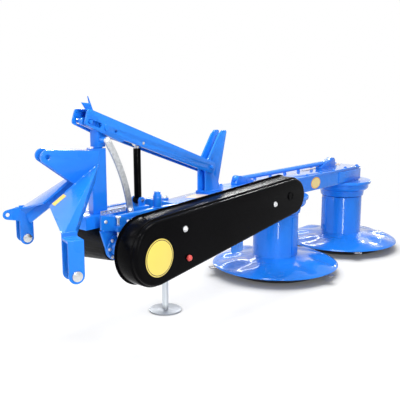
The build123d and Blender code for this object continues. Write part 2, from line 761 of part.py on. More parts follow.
# Hanger plate under the near rail, with the drive shaft's bearing housing on it
hanger_y = HANGER_INSET - rail_outer + HANGER_SHEET
with BuildPart() as hanger:
    with BuildSketch(bar_plane(hanger_y)):
        with BuildLine():
            Polyline(
                (DRIVE_X - HANGER_REACH, RAIL_BOTTOM),
                (DRIVE_X + HANGER_REACH, RAIL_BOTTOM),
                (DRIVE_X + HANGER_RADIUS, PTO_Z),
                (DRIVE_X - HANGER_RADIUS, PTO_Z),
                close=True,
            )
        make_face()
        with Locations((DRIVE_X, PTO_Z)):
            Circle(HANGER_RADIUS)
            Circle(STUB_RADIUS + HANGER_SHEET, mode=Mode.SUBTRACT)
    extrude(amount=HANGER_SHEET)
write(hanger.part, "hanger")

housing_face = hanger_y - HANGER_SHEET
with BuildPart() as drive_housing:
    with BuildSketch(bar_plane(housing_face)):
        with Locations((DRIVE_X, PTO_Z)):
            Circle(FLANGE_RADIUS)
    extrude(amount=FLANGE_SHEET)
    with BuildSketch(bar_plane(housing_face)):
        with Locations((DRIVE_X, PTO_Z)):
            Circle(HOUSING_RADIUS)
    extrude(amount=housing_face - GUARD_BACK_Y - GUARD_SHEET)
    with BuildSketch(bar_plane(housing_face)):
        with Locations((DRIVE_X, PTO_Z)):
            Circle(STUB_RADIUS + RUN_FIT)
    extrude(amount=2 * FLANGE_SHEET, mode=Mode.SUBTRACT)
write(drive_housing.part, "drive_housing")

with BuildPart() as pto_shield:
    for wall, mode in ((0, Mode.ADD), (SHIELD_WALL, Mode.SUBTRACT)):
        for y, radius in ((SHIELD_END_Y, SHIELD_RADIUS), (hanger_y, SHIELD_ROOT_RADIUS)):
            with BuildSketch(bar_plane(y)):
                with Locations((DRIVE_X, PTO_Z)):
                    Circle(radius - wall)
        loft(mode=mode)
write(pto_shield.part, "pto_shield")

with BuildPart() as pto_stub:
    with BuildSketch(bar_plane(STUB_END_Y)):
        with Locations((DRIVE_X, PTO_Z)):
            Circle(STUB_RADIUS)
    extrude(amount=STUB_END_Y - housing_face + FLANGE_SHEET)
    with BuildSketch(bar_plane(STUB_END_Y)):
        with Locations((DRIVE_X, PTO_Z)):
            with PolarLocations(STUB_RADIUS, SPLINES):
                Rectangle(2 * SPLINE_DEPTH, SPLINE_WIDTH)
    extrude(amount=SPLINE_LENGTH, mode=Mode.SUBTRACT)
write(pto_stub.part, "pto_stub")

with BuildPart() as driven_housing:
    with BuildSketch(bar_plane(-CASE_HALF_WIDTH)):
        with Locations((DRIVEN_X, DRIVEN_HOUSING_Z)):
            Circle(DRIVEN_FLANGE_RADIUS)
    extrude(amount=FLANGE_SHEET)
    with BuildSketch(bar_plane(-CASE_HALF_WIDTH)):
        with Locations((DRIVEN_X, DRIVEN_HOUSING_Z)):
            Circle(DRIVEN_HOUSING_RADIUS)
    extrude(amount=-CASE_HALF_WIDTH - GUARD_BACK_Y - GUARD_SHEET)
write(driven_housing.part, "driven_housing")

# Stand: a leg with a round foot, held in a sleeve on the neck
with BuildPart() as stand_sleeve:
    with BuildSketch(Plane.XY.offset(STAND_SLEEVE_BOTTOM)):
        with Locations((STAND_X, STAND_Y)):
            Circle(STAND_SLEEVE_RADIUS)
            Circle(STAND_LEG_RADIUS + RUN_FIT, mode=Mode.SUBTRACT)
    extrude(amount=STAND_SLEEVE_TOP - STAND_SLEEVE_BOTTOM)
write(stand_sleeve.part, "stand_sleeve")

with BuildPart() as stand_leg:
    with BuildSketch():
        with Locations((STAND_X, STAND_Y)):
            Circle(STAND_FOOT_RADIUS)
    extrude(amount=STAND_FOOT_SHEET)
    with BuildSketch():
        with Locations((STAND_X, STAND_Y)):
            Circle(STAND_LEG_RADIUS)
    extrude(amount=STAND_LEG_TOP)
write(stand_leg.part, "stand_leg")

with BuildPart() as lock_pin:
    with BuildSketch(Plane.XY.offset(LOCK_PIN_BOTTOM)):
        with Locations((LOCK_PIN_X, lock_pin_y)):
            Circle(LOCK_PIN_RADIUS)
    extrude(amount=LOCK_PIN_TOP - LOCK_PIN_BOTTOM)
    with BuildSketch(Plane.XY.offset(LOCK_PIN_TOP)):
        with Locations((LOCK_PIN_X, lock_pin_y)):
            Circle(2 * LOCK_PIN_RADIUS)
    extrude(amount=LOCK_PIN_RADIUS)
write(lock_pin.part, "lock_pin")

# Capped tube welded on the near rail, where the swing latch's spring sits
with BuildPart() as latch_tube:
    with BuildSketch(Plane.XY.offset(RAIL_TOP)):
        with Locations((LATCH_TUBE_X, -(RAIL_INNER_Y + rail_outer) / 2)):
            Circle(LATCH_TUBE_RADIUS)
    extrude(amount=LATCH_TUBE_HEIGHT)
    with BuildSketch(Plane.XY.offset(RAIL_TOP + LATCH_TUBE_HEIGHT)):
        with Locations((LATCH_TUBE_X, -(RAIL_INNER_Y + rail_outer) / 2)):
            Circle(LATCH_CAP_RADIUS)
    extrude(amount=LATCH_CAP_HEIGHT)
write(latch_tube.part, "latch_tube")

# Post foot: the cross box that hinges between the rails and carries post, stay and ram
ear_outer = BARREL_EYE_WIDTH / 2 + HINGE_GAP + RAM_EAR_SHEET
with BuildPart() as post_foot:
    with Locations((POST_X - FOOT_LEFT, 0, FOOT_BOTTOM)):
        Box(
            RAM_BASE_X + FOOT_RIGHT - POST_X + FOOT_LEFT,
            2 * FOOT_HALF_WIDTH,
            FOOT_TOP - FOOT_BOTTOM,
            align=(Align.MIN, Align.CENTER, Align.MIN),
        )
    with BuildSketch(bar_plane(RAIL_INNER_Y - HINGE_GAP)):
        with Locations((POST_X, HINGE_Z)):
            Circle(HINGE_BUSH_RADIUS)
    extrude(amount=2 * (RAIL_INNER_Y - HINGE_GAP))
    with BuildSketch(bar_plane(RAIL_INNER_Y)):
        with Locations((POST_X, HINGE_Z)):
            Circle(HINGE_PIN_RADIUS + RUN_FIT)
    extrude(amount=2 * RAIL_INNER_Y, mode=Mode.SUBTRACT)
    for ear_y in (ear_outer, RAM_EAR_SHEET - ear_outer):
        with BuildSketch(bar_plane(ear_y)):
            with Locations((RAM_BASE_X, RAM_BASE_Z)):
                Circle(BARREL_EYE_RADIUS)
            with Locations((RAM_BASE_X, FOOT_TOP)):
                Rectangle(2 * BARREL_EYE_RADIUS, RAM_BASE_Z - FOOT_TOP, align=(Align.CENTER, Align.MIN))
            with Locations((RAM_BASE_X, RAM_BASE_Z)):
                Circle(RAM_PIN_RADIUS + SEAT_FIT, mode=Mode.SUBTRACT)
        extrude(amount=RAM_EAR_SHEET)
    with BuildSketch(bar_plane(-FOOT_HALF_WIDTH)):
        with Locations((STAY_FOOT_X, FOOT_TOP)):
            Circle(STAY_WIDTH / 2)
        with Locations((STAY_FOOT_X, FOOT_BOTTOM)):
            Rectangle(STAY_WIDTH, FOOT_TOP - FOOT_BOTTOM, align=(Align.CENTER, Align.MIN))
    extrude(amount=-FOOT_HALF_WIDTH - STAY_NEAR_Y - STAY_SHEET)
write(post_foot.part, "post_foot")

with BuildPart() as ram_pin:
    with BuildSketch(bar_plane(ear_outer + RAM_PIN_PROUD)):
        with Locations((RAM_BASE_X, RAM_BASE_Z)):
            Circle(RAM_PIN_RADIUS)
    extrude(amount=2 * (ear_outer + RAM_PIN_PROUD))
write(ram_pin.part, "ram_pin")

# Swing post: a journal, a square head and the ear that holds the guide pin between the boom plates
journal_top = COLUMN_TOP + HEAD_GAP
head_top = COLUMN_TOP + HEAD_RISE
stay_top = head_top - STAY_TOP_DROP
guide_z = head_top - GUIDE_DROP
with BuildPart() as swing_post:
    with BuildSketch(Plane.XY.offset(FOOT_TOP)):
        with Locations((POST_X, 0)):
            Circle(JOURNAL_RADIUS)
    extrude(amount=journal_top - FOOT_TOP)
    with Locations((POST_X, 0, journal_top)):
        Box(
            2 * JOURNAL_RADIUS,
            HEAD_WIDTH,
            head_top - journal_top,
            align=(Align.CENTER, Align.CENTER, Align.MIN),
        )
    with BuildSketch(bar_plane(GUIDE_EAR_HALF)):
        with Locations((GUIDE_X, guide_z)):
            Circle(GUIDE_EYE_RADIUS)
        with Locations((POST_X, head_top)):
            Rectangle(2 * JOURNAL_RADIUS, GUIDE_EAR_DEPTH, align=(Align.CENTER, Align.MAX))
        make_hull()
    extrude(amount=2 * GUIDE_EAR_HALF)
    with BuildSketch(bar_plane(-HEAD_WIDTH / 2)):
        with Locations((POST_X, stay_top)):
            Circle(STAY_BOLT_RADIUS)
    extrude(amount=-HEAD_WIDTH / 2 - STAY_NEAR_Y - STAY_SHEET)
    with BuildSketch(bar_plane(HEAD_WIDTH)):
        with Locations((GUIDE_X, guide_z)):
            Circle(GUIDE_PIN_RADIUS + SEAT_FIT)
    extrude(amount=2 * HEAD_WIDTH, mode=Mode.SUBTRACT)
write(swing_post.part, "swing_post")

with BuildPart() as guide_pin:
    with BuildSketch(bar_plane(boom_outer + BOOM_SHEET)):
        with Locations((GUIDE_X, guide_z)):
            Circle(GUIDE_PIN_RADIUS)
    extrude(amount=2 * (boom_outer + BOOM_SHEET))
write(guide_pin.part, "guide_pin")

# Galvanised stay: a curved flat from the post's head down to the foot
with BuildPart() as stay:
    with BuildSketch(bar_plane(STAY_NEAR_Y + STAY_SHEET)):
        with BuildLine():
            ThreePointArc((POST_X, stay_top), (STAY_MID_X, STAY_MID_Z), (STAY_FOOT_X, FOOT_TOP))
            offset(amount=STAY_WIDTH / 2, side=Side.BOTH)
        make_face()
    extrude(amount=STAY_SHEET)
write(stay.part, "stay")

# Boom: two plates under a web, drawn from its pin towards the tail
boom_run = hypot(GUIDE_X - BOOM_PIN_X, guide_z - BOOM_PIN_Z)
boom_dir = ((GUIDE_X - BOOM_PIN_X) / boom_run, 0, (guide_z - BOOM_PIN_Z) / boom_run)
boom_tail = boom_run + BOOM_TAIL


def boom_plane(y):
    # Sketches along the boom and up; extruding goes towards +Y.
    return Plane((BOOM_PIN_X, y, BOOM_PIN_Z), x_dir=boom_dir, z_dir=(0, 1, 0))


with BuildPart() as boom:
    with BuildSketch(boom_plane(-boom_outer)) as boom_side:
        with BuildLine():
            Polyline(
                (0, BOOM_TOP_ROOT),
                (boom_tail, BOOM_TOP_TAIL),
                (boom_tail, BOOM_TAIL_LOW),
                (BOOM_STEP + BOOM_STEP_RUN, BOOM_DEEP),
                (BOOM_STEP, BOOM_SHALLOW),
                (0, -BOOM_TOP_ROOT),
            )
            ThreePointArc((0, -BOOM_TOP_ROOT), (-BOOM_TOP_ROOT, 0), (0, BOOM_TOP_ROOT))
        make_face()
        fillet(boom_side.vertices().group_by(Axis.X)[-1], BOOM_TAIL_CORNER)
        Circle(BOOM_PIN_RADIUS + RUN_FIT, mode=Mode.SUBTRACT)
        with Locations((BOOM_HOLE_AT, 0)):
            Circle(BOOM_HOLE_RADIUS, mode=Mode.SUBTRACT)
        with Locations((boom_run - SLOT_TRAVEL / 2, 0)):
            SlotCenterToCenter(SLOT_TRAVEL, 2 * (GUIDE_PIN_RADIUS + SLOT_PLAY), mode=Mode.SUBTRACT)
        with Locations((ROD_PIN_AT, ROD_PIN_DROP)):
            Circle(ROD_PIN_RADIUS + SEAT_FIT, mode=Mode.SUBTRACT)
    extrude(amount=2 * boom_outer)
    with BuildSketch(boom_plane(-BOOM_INNER_Y)):
        with BuildLine():
            rise = (BOOM_TOP_TAIL - BOOM_TOP_ROOT) / boom_tail
            Polyline(
                (BOOM_WEB_START, BOOM_TOP_ROOT + rise * BOOM_WEB_START - BOOM_WEB),
                (boom_tail + BOOM_TAIL, BOOM_TOP_ROOT + rise * (boom_tail + BOOM_TAIL) - BOOM_WEB),
                (boom_tail + BOOM_TAIL, 2 * BOOM_DEEP),
                (-2 * BOOM_TOP_ROOT, 2 * BOOM_DEEP),
                (-2 * BOOM_TOP_ROOT, 2 * BOOM_TOP_ROOT),
                (BOOM_WEB_START, 2 * BOOM_TOP_ROOT),
                close=True,
            )
        make_face()
    extrude(amount=2 * BOOM_INNER_Y, mode=Mode.SUBTRACT)
    with BuildSketch(boom_plane(-boom_outer - BOOM_BOSS_HEIGHT)):
        with Locations((BOOM_BOSS_AT, 0)):
            Circle(BOOM_BOSS_RADIUS)
    extrude(amount=BOOM_BOSS_HEIGHT)
write(boom.part, "boom")

with BuildPart() as rod_pin:
    with BuildSketch(boom_plane(-boom_outer)):
        with Locations((ROD_PIN_AT, ROD_PIN_DROP)):
            Circle(ROD_PIN_RADIUS)
    extrude(amount=2 * boom_outer)
write(rod_pin.part, "rod_pin")

# Hose hook: a bent blade on the boom's tail
with BuildPart() as hose_hook:
    with BuildSketch(boom_plane(-BOOM_SHEET / 2)):
        with BuildLine():
            hook_back = boom_tail - HOOK_BACK
            hook_front = hook_back - HOOK_FOOT
            hook_base = BOOM_TOP_ROOT + rise * hook_back
            Polyline(
                (hook_front, BOOM_TOP_ROOT + rise * hook_front),
                (boom_tail - HOOK_TIP_BACK, hook_base + HOOK_TIP_RISE),
                (hook_back - HOOK_SPUR_REACH, hook_base + HOOK_NOTCH_RISE),
                (boom_tail + HOOK_SPUR_REACH, hook_base + HOOK_SPUR_RISE),
                (hook_back, hook_base),
                close=True,
            )
        make_face()
    extrude(amount=BOOM_SHEET)
write(hose_hook.part, "hose_hook")

# Lift cylinder: barrel on the foot's ears, rod with its eye on the boom's cross pin
eye_x = BOOM_PIN_X + ROD_PIN_AT * boom_dir[0] + ROD_PIN_DROP * boom_dir[2]
eye_z = BOOM_PIN_Z + ROD_PIN_AT * boom_dir[2] - ROD_PIN_DROP * boom_dir[0]
ram_run = hypot(eye_x - RAM_BASE_X, eye_z - RAM_BASE_Z)
ram_dir = ((eye_x - RAM_BASE_X) / ram_run, 0, (eye_z - RAM_BASE_Z) / ram_run)
ram_plane = Plane((RAM_BASE_X, 0, RAM_BASE_Z), x_dir=(0, 1, 0), z_dir=ram_dir)
barrel_length = round(ram_run - BARREL_CLEAR)

with BuildPart() as barrel:
    with BuildSketch(ram_plane.offset(BARREL_EYE_RADIUS - BARREL_NECK)):
        Circle(BARREL_RADIUS)
    extrude(amount=barrel_length - BARREL_EYE_RADIUS + BARREL_NECK)
    with BuildSketch(bar_plane(BARREL_EYE_WIDTH / 2)):
        with Locations((RAM_BASE_X, RAM_BASE_Z)):
            Circle(BARREL_EYE_RADIUS)
    extrude(amount=BARREL_EYE_WIDTH)
    with BuildSketch(bar_plane(BARREL_EYE_WIDTH)):
        with Locations((RAM_BASE_X, RAM_BASE_Z)):
            Circle(RAM_PIN_RADIUS + RUN_FIT)
    extrude(amount=2 * BARREL_EYE_WIDTH, mode=Mode.SUBTRACT)
    with BuildSketch(ram_plane.offset(ROD_START - BARREL_FLOOR)):
        Circle(ROD_RADIUS + RUN_FIT)
    extrude(amount=barrel_length, mode=Mode.SUBTRACT)
write(barrel.part, "barrel")

with BuildPart() as rod:
    with BuildSketch(ram_plane.offset(ROD_START)):
        Circle(ROD_RADIUS)
    extrude(amount=ram_run - ROD_START - ROD_PIN_RADIUS)
    with BuildSketch(bar_plane(ROD_EYE_WIDTH / 2)):
        with Locations((eye_x, eye_z)):
            Circle(ROD_EYE_RADIUS)
    extrude(amount=ROD_EYE_WIDTH)
    with BuildSketch(bar_plane(ROD_EYE_WIDTH)):
        with Locations((eye_x, eye_z)):
            Circle(ROD_PIN_RADIUS + ROD_EYE_PLAY)
    extrude(amount=2 * ROD_EYE_WIDTH, mode=Mode.SUBTRACT)
write(rod.part, "rod")

# Headstock: a square column on the post, top-link horns, creased legs and link brackets
with BuildPart() as column:
    with BuildSketch(hitch_side(-HORN_HALF_GAP)):
        with Locations((-COLUMN_REAR, FOOT_TOP + HINGE_GAP)):
            Rectangle(
                COLUMN_REAR + COLUMN_FRONT,
                COLUMN_TOP - FOOT_TOP - HINGE_GAP,
                align=(Align.MIN, Align.MIN),
            )
    extrude(amount=2 * HORN_HALF_GAP)
    fillet(column.edges().filter_by(Axis.Z), COLUMN_EDGE)
    with BuildSketch(Plane.XY.offset(FOOT_TOP)):
        with Locations((POST_X, 0)):
            Circle(JOURNAL_RADIUS + RUN_FIT)
    extrude(amount=COLUMN_TOP - FOOT_TOP, mode=Mode.SUBTRACT)
write(column.part, "pivot_column")

horn_top = COLUMN_TOP - HORN_TOP_DROP
top_link_z = COLUMN_TOP - TOP_LINK_DROP
for side, horn_start in [("near", -HORN_HALF_GAP - HORN_SHEET), ("far", HORN_HALF_GAP)]:
    with BuildPart() as horn:
        with BuildSketch(hitch_side(horn_start)):
            with BuildLine():
                Polyline(
                    (TOP_LINK_FORWARD, top_link_z + HORN_END_RADIUS),
                    (HORN_REAR, horn_top),
                    (HORN_REAR, COLUMN_TOP - HORN_REAR_DEPTH),
                    (HORN_TIP_FORWARD, COLUMN_TOP - HORN_TIP_DEPTH),
                    (TOP_LINK_FORWARD + 0.8 * HORN_END_RADIUS, top_link_z - 0.6 * HORN_END_RADIUS),
                )
                ThreePointArc(
                    (TOP_LINK_FORWARD + 0.8 * HORN_END_RADIUS, top_link_z - 0.6 * HORN_END_RADIUS),
                    (TOP_LINK_FORWARD + 0.96 * HORN_END_RADIUS, top_link_z + 0.28 * HORN_END_RADIUS),
                    (TOP_LINK_FORWARD, top_link_z + HORN_END_RADIUS),
                )
            make_face()
            with Locations((TOP_LINK_FORWARD, top_link_z)):
                Circle(TOP_LINK_BORE, mode=Mode.SUBTRACT)
        extrude(amount=HORN_SHEET)
    write(horn.part, f"horn_{side}")

horn_rise = (top_link_z + HORN_END_RADIUS - horn_top) / (TOP_LINK_FORWARD - HORN_REAR)
with BuildPart() as horn_spacer:
    with BuildSketch(hitch_side(-HORN_HALF_GAP)):
        with BuildLine():
            spacer_ends = [
                (forward, horn_top + horn_rise * (forward - HORN_REAR))
                for forward in (COLUMN_FRONT, TOP_LINK_FORWARD - SPACER_CLEAR)
            ]
            Polyline(
                spacer_ends[0],
                spacer_ends[1],
                (spacer_ends[1][0], spacer_ends[1][1] - SPACER_SHEET),
                (spacer_ends[0][0], spacer_ends[0][1] - SPACER_SHEET),
                close=True,
            )
        make_face()
    extrude(amount=2 * HORN_HALF_GAP)
write(horn_spacer.part, "horn_spacer")

# Legs: creased plates from the horns' lower edge out and down to the brackets
leg_inner = HORN_HALF_GAP + HORN_SHEET
leg_outer = HITCH_HALF_SPAN - BRACKET_HALF_GAP - BRACKET_SHEET
rear_in = Vector(*hitch_point(-leg_inner, LEG_REAR_FORWARD, COLUMN_TOP - LEG_REAR_DEPTH))
front_in = Vector(*hitch_point(-leg_inner, LEG_FRONT_FORWARD, COLUMN_TOP - LEG_FRONT_DEPTH))
foot_rear = HITCH_FORWARD - LEG_FOOT_REAR
foot_front = HITCH_FORWARD + LEG_FOOT_FRONT
rear_out = Vector(*hitch_point(-leg_outer, foot_rear, BRACKET_TOP - LEG_FOOT_REAR_DROP))
front_out = Vector(*hitch_point(-leg_outer, foot_front, BRACKET_TOP - LEG_FOOT_FRONT_DROP))
crease_end = rear_in + (front_out - rear_in) * LEG_OVERRUN
rear_end = rear_in + (rear_out - rear_in) * LEG_OVERRUN
rear_edge = (rear_out - rear_in).normalized()
rear_face = (front_out - rear_in).cross(rear_out - rear_in).normalized()
fold = (rear_face.cross(rear_edge) - rear_face).normalized() * LEG_FLANGE
LEG_FACETS = [
    # corners of each flat of the plate, in order round its outer face
    (rear_in, front_in, crease_end),
    (rear_in, crease_end, rear_end),
    (rear_in, rear_end, rear_end + fold, rear_in + fold),
]
with BuildPart() as leg_near:
    for corners in LEG_FACETS:
        along = corners[1] - corners[0]
        facet = Plane(corners[0], x_dir=along, z_dir=along.cross(corners[2] - corners[0]))
        with BuildSketch(facet):
            with BuildLine():
                Polyline(*[facet.to_local_coords(corner) for corner in corners], close=True)
            make_face()
        extrude(amount=-LEG_SHEET)
    split(bisect_by=hitch_side(-leg_inner), keep=Keep.BOTTOM)
    split(bisect_by=hitch_side(-leg_outer), keep=Keep.TOP)
write(leg_near.part, "leg_near")

with BuildPart() as leg_far:
    mirror(leg_near.part, about=hitch_side(0))
write(leg_far.part, "leg_far")

outer_top = BRACKET_TOP - BRACKET_OUTER_DROP
for side, sign in [("near", -1), ("far", 1)]:
    # Link bracket: two plates with round ends, the inner one taller, tied by a bridge plate
    with BuildPart() as bracket:
        for plate in (-BRACKET_HALF_GAP - BRACKET_SHEET, BRACKET_HALF_GAP):
            with BuildSketch(hitch_side(sign * HITCH_HALF_SPAN + plate)):
                with BuildLine():
                    plate_top = outer_top if plate * sign > 0 else BRACKET_TOP
                    Polyline(
                        (HITCH_FORWARD - BRACKET_HALF_WIDTH, HITCH_PIN_Z),
                        (HITCH_FORWARD - BRACKET_HALF_WIDTH, plate_top),
                        (HITCH_FORWARD + BRACKET_HALF_WIDTH, plate_top),
                        (HITCH_FORWARD + BRACKET_HALF_WIDTH, HITCH_PIN_Z),
                    )
                    ThreePointArc(
                        (HITCH_FORWARD + BRACKET_HALF_WIDTH, HITCH_PIN_Z),
                        (HITCH_FORWARD, HITCH_PIN_Z - BRACKET_HALF_WIDTH),
                        (HITCH_FORWARD - BRACKET_HALF_WIDTH, HITCH_PIN_Z),
                    )
                make_face()
                with Locations((HITCH_FORWARD, HITCH_PIN_Z)):
                    Circle(HITCH_PIN_RADIUS + SEAT_FIT, mode=Mode.SUBTRACT)
            extrude(amount=BRACKET_SHEET)
        with BuildSketch(hitch_side(sign * HITCH_HALF_SPAN - BRACKET_HALF_GAP)):
            with Locations((HITCH_FORWARD, outer_top)):
                Rectangle(2 * BRACKET_HALF_WIDTH, BRIDGE_SHEET, align=(Align.CENTER, Align.MAX))
        extrude(amount=2 * BRACKET_HALF_GAP)
        # The far bracket's inner plate reaches forward to an ear for the swing latch.
        if side == "far":
            ear_forward = HITCH_FORWARD + LATCH_EAR_REACH
            ear_z = HITCH_PIN_Z + LATCH_EAR_RISE
            with BuildSketch(hitch_side(leg_outer)):
                with Locations((ear_forward, ear_z)):
                    Circle(LATCH_EAR_RADIUS)
                with Locations((HITCH_FORWARD, ear_z)):
                    Rectangle(2 * BRACKET_HALF_WIDTH, 3 * LATCH_EAR_RADIUS)
                make_hull()
                with Locations((ear_forward, ear_z)):
                    Circle(LATCH_EAR_HOLE, mode=Mode.SUBTRACT)
            extrude(amount=BRACKET_SHEET)
    write(bracket.part, f"bracket_{side}")

    pin_half = BRACKET_HALF_GAP + BRACKET_SHEET + HITCH_PIN_HEAD
    with BuildPart() as hitch_pin:
        with BuildSketch(hitch_side(sign * HITCH_HALF_SPAN - pin_half)):
            with Locations((HITCH_FORWARD, HITCH_PIN_Z)):
                Circle(HITCH_PIN_RADIUS)
        extrude(amount=2 * pin_half)
        with BuildSketch(hitch_side(sign * HITCH_HALF_SPAN - pin_half)):
            with Locations((HITCH_FORWARD, HITCH_PIN_Z)):
                Circle(HITCH_PIN_HEAD_RADIUS)
        extrude(amount=HITCH_PIN_HEAD)
    write(hitch_pin.part, f"hitch_pin_{side}")
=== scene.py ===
import json
from math import cos, pi, radians, sin

import bmesh
import bpy
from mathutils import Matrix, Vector

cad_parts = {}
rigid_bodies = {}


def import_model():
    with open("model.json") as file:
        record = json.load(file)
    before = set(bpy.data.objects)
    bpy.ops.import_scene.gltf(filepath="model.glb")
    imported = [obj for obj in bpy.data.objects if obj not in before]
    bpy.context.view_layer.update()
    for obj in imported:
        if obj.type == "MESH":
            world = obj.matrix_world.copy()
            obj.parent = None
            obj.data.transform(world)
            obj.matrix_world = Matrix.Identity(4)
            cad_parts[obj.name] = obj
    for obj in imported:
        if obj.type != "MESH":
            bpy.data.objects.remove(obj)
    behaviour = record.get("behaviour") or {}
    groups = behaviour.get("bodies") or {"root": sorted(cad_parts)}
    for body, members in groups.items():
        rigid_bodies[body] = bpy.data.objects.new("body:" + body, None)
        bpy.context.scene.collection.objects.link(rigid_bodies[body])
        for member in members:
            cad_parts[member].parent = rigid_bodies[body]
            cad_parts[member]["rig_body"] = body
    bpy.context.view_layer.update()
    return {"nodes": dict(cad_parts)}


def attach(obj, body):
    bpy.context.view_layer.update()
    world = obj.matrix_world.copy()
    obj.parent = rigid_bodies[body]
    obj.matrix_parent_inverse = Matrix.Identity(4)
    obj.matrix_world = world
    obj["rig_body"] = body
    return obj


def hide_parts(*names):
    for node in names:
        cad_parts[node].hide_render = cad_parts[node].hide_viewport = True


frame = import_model()
scene = bpy.context.scene
scene.view_settings.view_transform = "Standard"


# Photographer's corner: a camera a little above the hitch, looking along the
# cutter bar, white paper that takes the shadow, carries a painted contact shadow
# under the machine and fades into a white room, three soft boxes, and narrow
# lamps that only show as glints in the gloss.
CAMERA_PLACE = Vector((-3.120, -2.113, 1.127))
CAMERA_YAW = radians(41.0)
CAMERA_PITCH = radians(10.48)
level = cos(CAMERA_PITCH)
look = Vector((level * cos(CAMERA_YAW), level * sin(CAMERA_YAW), -sin(CAMERA_PITCH)))
camera = bpy.data.objects.new("photo_camera", bpy.data.cameras.new("photo_camera"))
camera.data.sensor_width = 36.0
camera.data.lens = 57.6
camera.location = CAMERA_PLACE
camera.rotation_euler = look.to_track_quat("-Z", "Y").to_euler()
scene.collection.objects.link(camera)
scene.camera = camera


def new_material(name):
    material = bpy.data.materials.new(name)
    material.use_nodes = True
    nodes = material.node_tree.nodes
    return material, nodes, material.node_tree.links, nodes["Principled BSDF"]


def seen_directly(nodes, links):
    # 1 for what the eye, a mirror or glass sees, 0 for light that falls on things.
    path = nodes.new("ShaderNodeLightPath")
    either = nodes.new("ShaderNodeMath")
    either.operation = "MAXIMUM"
    links.new(path.outputs["Is Camera Ray"], either.inputs[0])
    links.new(path.outputs["Is Glossy Ray"], either.inputs[1])
    every = nodes.new("ShaderNodeMath")
    every.operation = "MAXIMUM"
    links.new(either.outputs[0], every.inputs[0])
    links.new(path.outputs["Is Transmission Ray"], every.inputs[1])
    return every.outputs[0]


def ranged(nodes, links, value, low, high, first, second):
    # One value stretched from one span to another, and held at its ends.
    span = nodes.new("ShaderNodeMapRange")
    span.inputs["From Min"].default_value = low
    span.inputs["From Max"].default_value = high
    span.inputs["To Min"].default_value = first
    span.inputs["To Max"].default_value = second
    links.new(value, span.inputs["Value"])
    return span.outputs["Result"]


PAPER_HALF = 14.0
PAPER_MIDDLE = (-0.3, 0.0, 0.0)
FADE_START = 1.5
FADE_END = 2.9
PAPER_GLOW = (1.16, 1.0)
PAPER_SHARE = (0.62, 1.0)
PAINTED_SHADOW_REACH = 0.16
PAINTED_SHADOW_OPEN = (0.35, 0.96)
PAINTED_SHADOW_DEPTH = (0.1, 1.0)
paper, nodes, links, paper_shader = new_material("white_paper")
paper_shader.inputs["Base Color"].default_value = (0.88, 0.88, 0.88, 1)
paper_shader.inputs["Roughness"].default_value = 0.9
paper_shader.inputs["Specular IOR Level"].default_value = 0.0
place = nodes.new("ShaderNodeTexCoord")
away = nodes.new("ShaderNodeVectorMath")
away.operation = "DISTANCE"
away.inputs[1].default_value = PAPER_MIDDLE
links.new(place.outputs["Object"], away.inputs[0])
# Painted contact shadow: ambient occlusion darkens the paper's glow where the machine stands close over it.
painted_contact_shadow = nodes.new("ShaderNodeAmbientOcclusion")
painted_contact_shadow.inputs["Distance"].default_value = PAINTED_SHADOW_REACH
painted_contact_shadow.samples = 8
bright = nodes.new("ShaderNodeMath")
bright.operation = "MULTIPLY"
links.new(ranged(nodes, links, away.outputs["Value"], FADE_START, FADE_END, *PAPER_GLOW), bright.inputs[0])
links.new(ranged(nodes, links, painted_contact_shadow.outputs["AO"], *PAINTED_SHADOW_OPEN, *PAINTED_SHADOW_DEPTH), bright.inputs[1])
glow = nodes.new("ShaderNodeEmission")
links.new(bright.outputs[0], glow.inputs["Strength"])
share = nodes.new("ShaderNodeMath")
share.operation = "MULTIPLY"
links.new(seen_directly(nodes, links), share.inputs[0])
links.new(ranged(nodes, links, away.outputs["Value"], FADE_START, FADE_END, *PAPER_SHARE), share.inputs[1])
mixed = nodes.new("ShaderNodeMixShader")
links.new(share.outputs[0], mixed.inputs["Fac"])
links.new(paper_shader.outputs[0], mixed.inputs[1])
links.new(glow.outputs[0], mixed.inputs[2])
links.new(mixed.outputs[0], nodes["Material Output"].inputs["Surface"])
floor_mesh = bpy.data.meshes.new("paper_floor")
floor_mesh.from_pydata(
    [(PAPER_HALF * x, PAPER_HALF * y, 0) for x, y in ((-1, -1), (1, -1), (1, 1), (-1, 1))],
    [],
    [(0, 1, 2, 3)],
)
floor = bpy.data.objects.new("paper_floor", floor_mesh)
floor.data.materials.append(paper)
scene.collection.objects.link(floor)

ROOM_LIGHT = 0.33
world = bpy.data.worlds.new("white_room")
scene.world = world
world.use_nodes = True
nodes, links = world.node_tree.nodes, world.node_tree.links
backdrop = nodes["Background"]
backdrop.inputs["Color"].default_value = (1, 1, 1, 1)
room_light = ranged(nodes, links, seen_directly(nodes, links), 0, 1, ROOM_LIGHT, 1.0)
links.new(room_light, backdrop.inputs["Strength"])

SOFT_BOXES = [
    # name, place, point aimed at, width, height, watts, whether it only gives glints
    ("overhead_box", (-0.8, -0.4, 3.6), (-0.3, 0.0, 0.3), 1.6, 1.6, 110.0, False),
    ("key_strip", (-2.7, -3.0, 1.9), (-0.1, 0.0, 0.3), 0.45, 2.2, 85.0, False),
    ("side_box", (-4.2, 1.2, 2.0), (-1.2, 0.0, 0.5), 1.6, 1.6, 50.0, False),
    ("rear_glint", (2.0, 2.8, 2.2), (0.2, 0.0, 0.1), 2.6, 0.12, 26.0, True),
    ("back_glint", (0.9, 3.4, 1.5), (-0.1, 0.0, 0.1), 0.12, 1.8, 30.0, True),
    ("front_glint", (2.6, 1.75, 2.55), (0.0, -0.1, 0.1), 1.2, 0.10, 30.0, True),
    ("right_glint", (3.7, 0.7, 1.5), (0.1, -0.1, 0.1), 0.05, 0.8, 12.0, True),
    ("left_glint", (-2.3, 2.2, 2.75), (-1.45, -0.3, 0.55), 0.40, 0.22, 40.0, True),
]
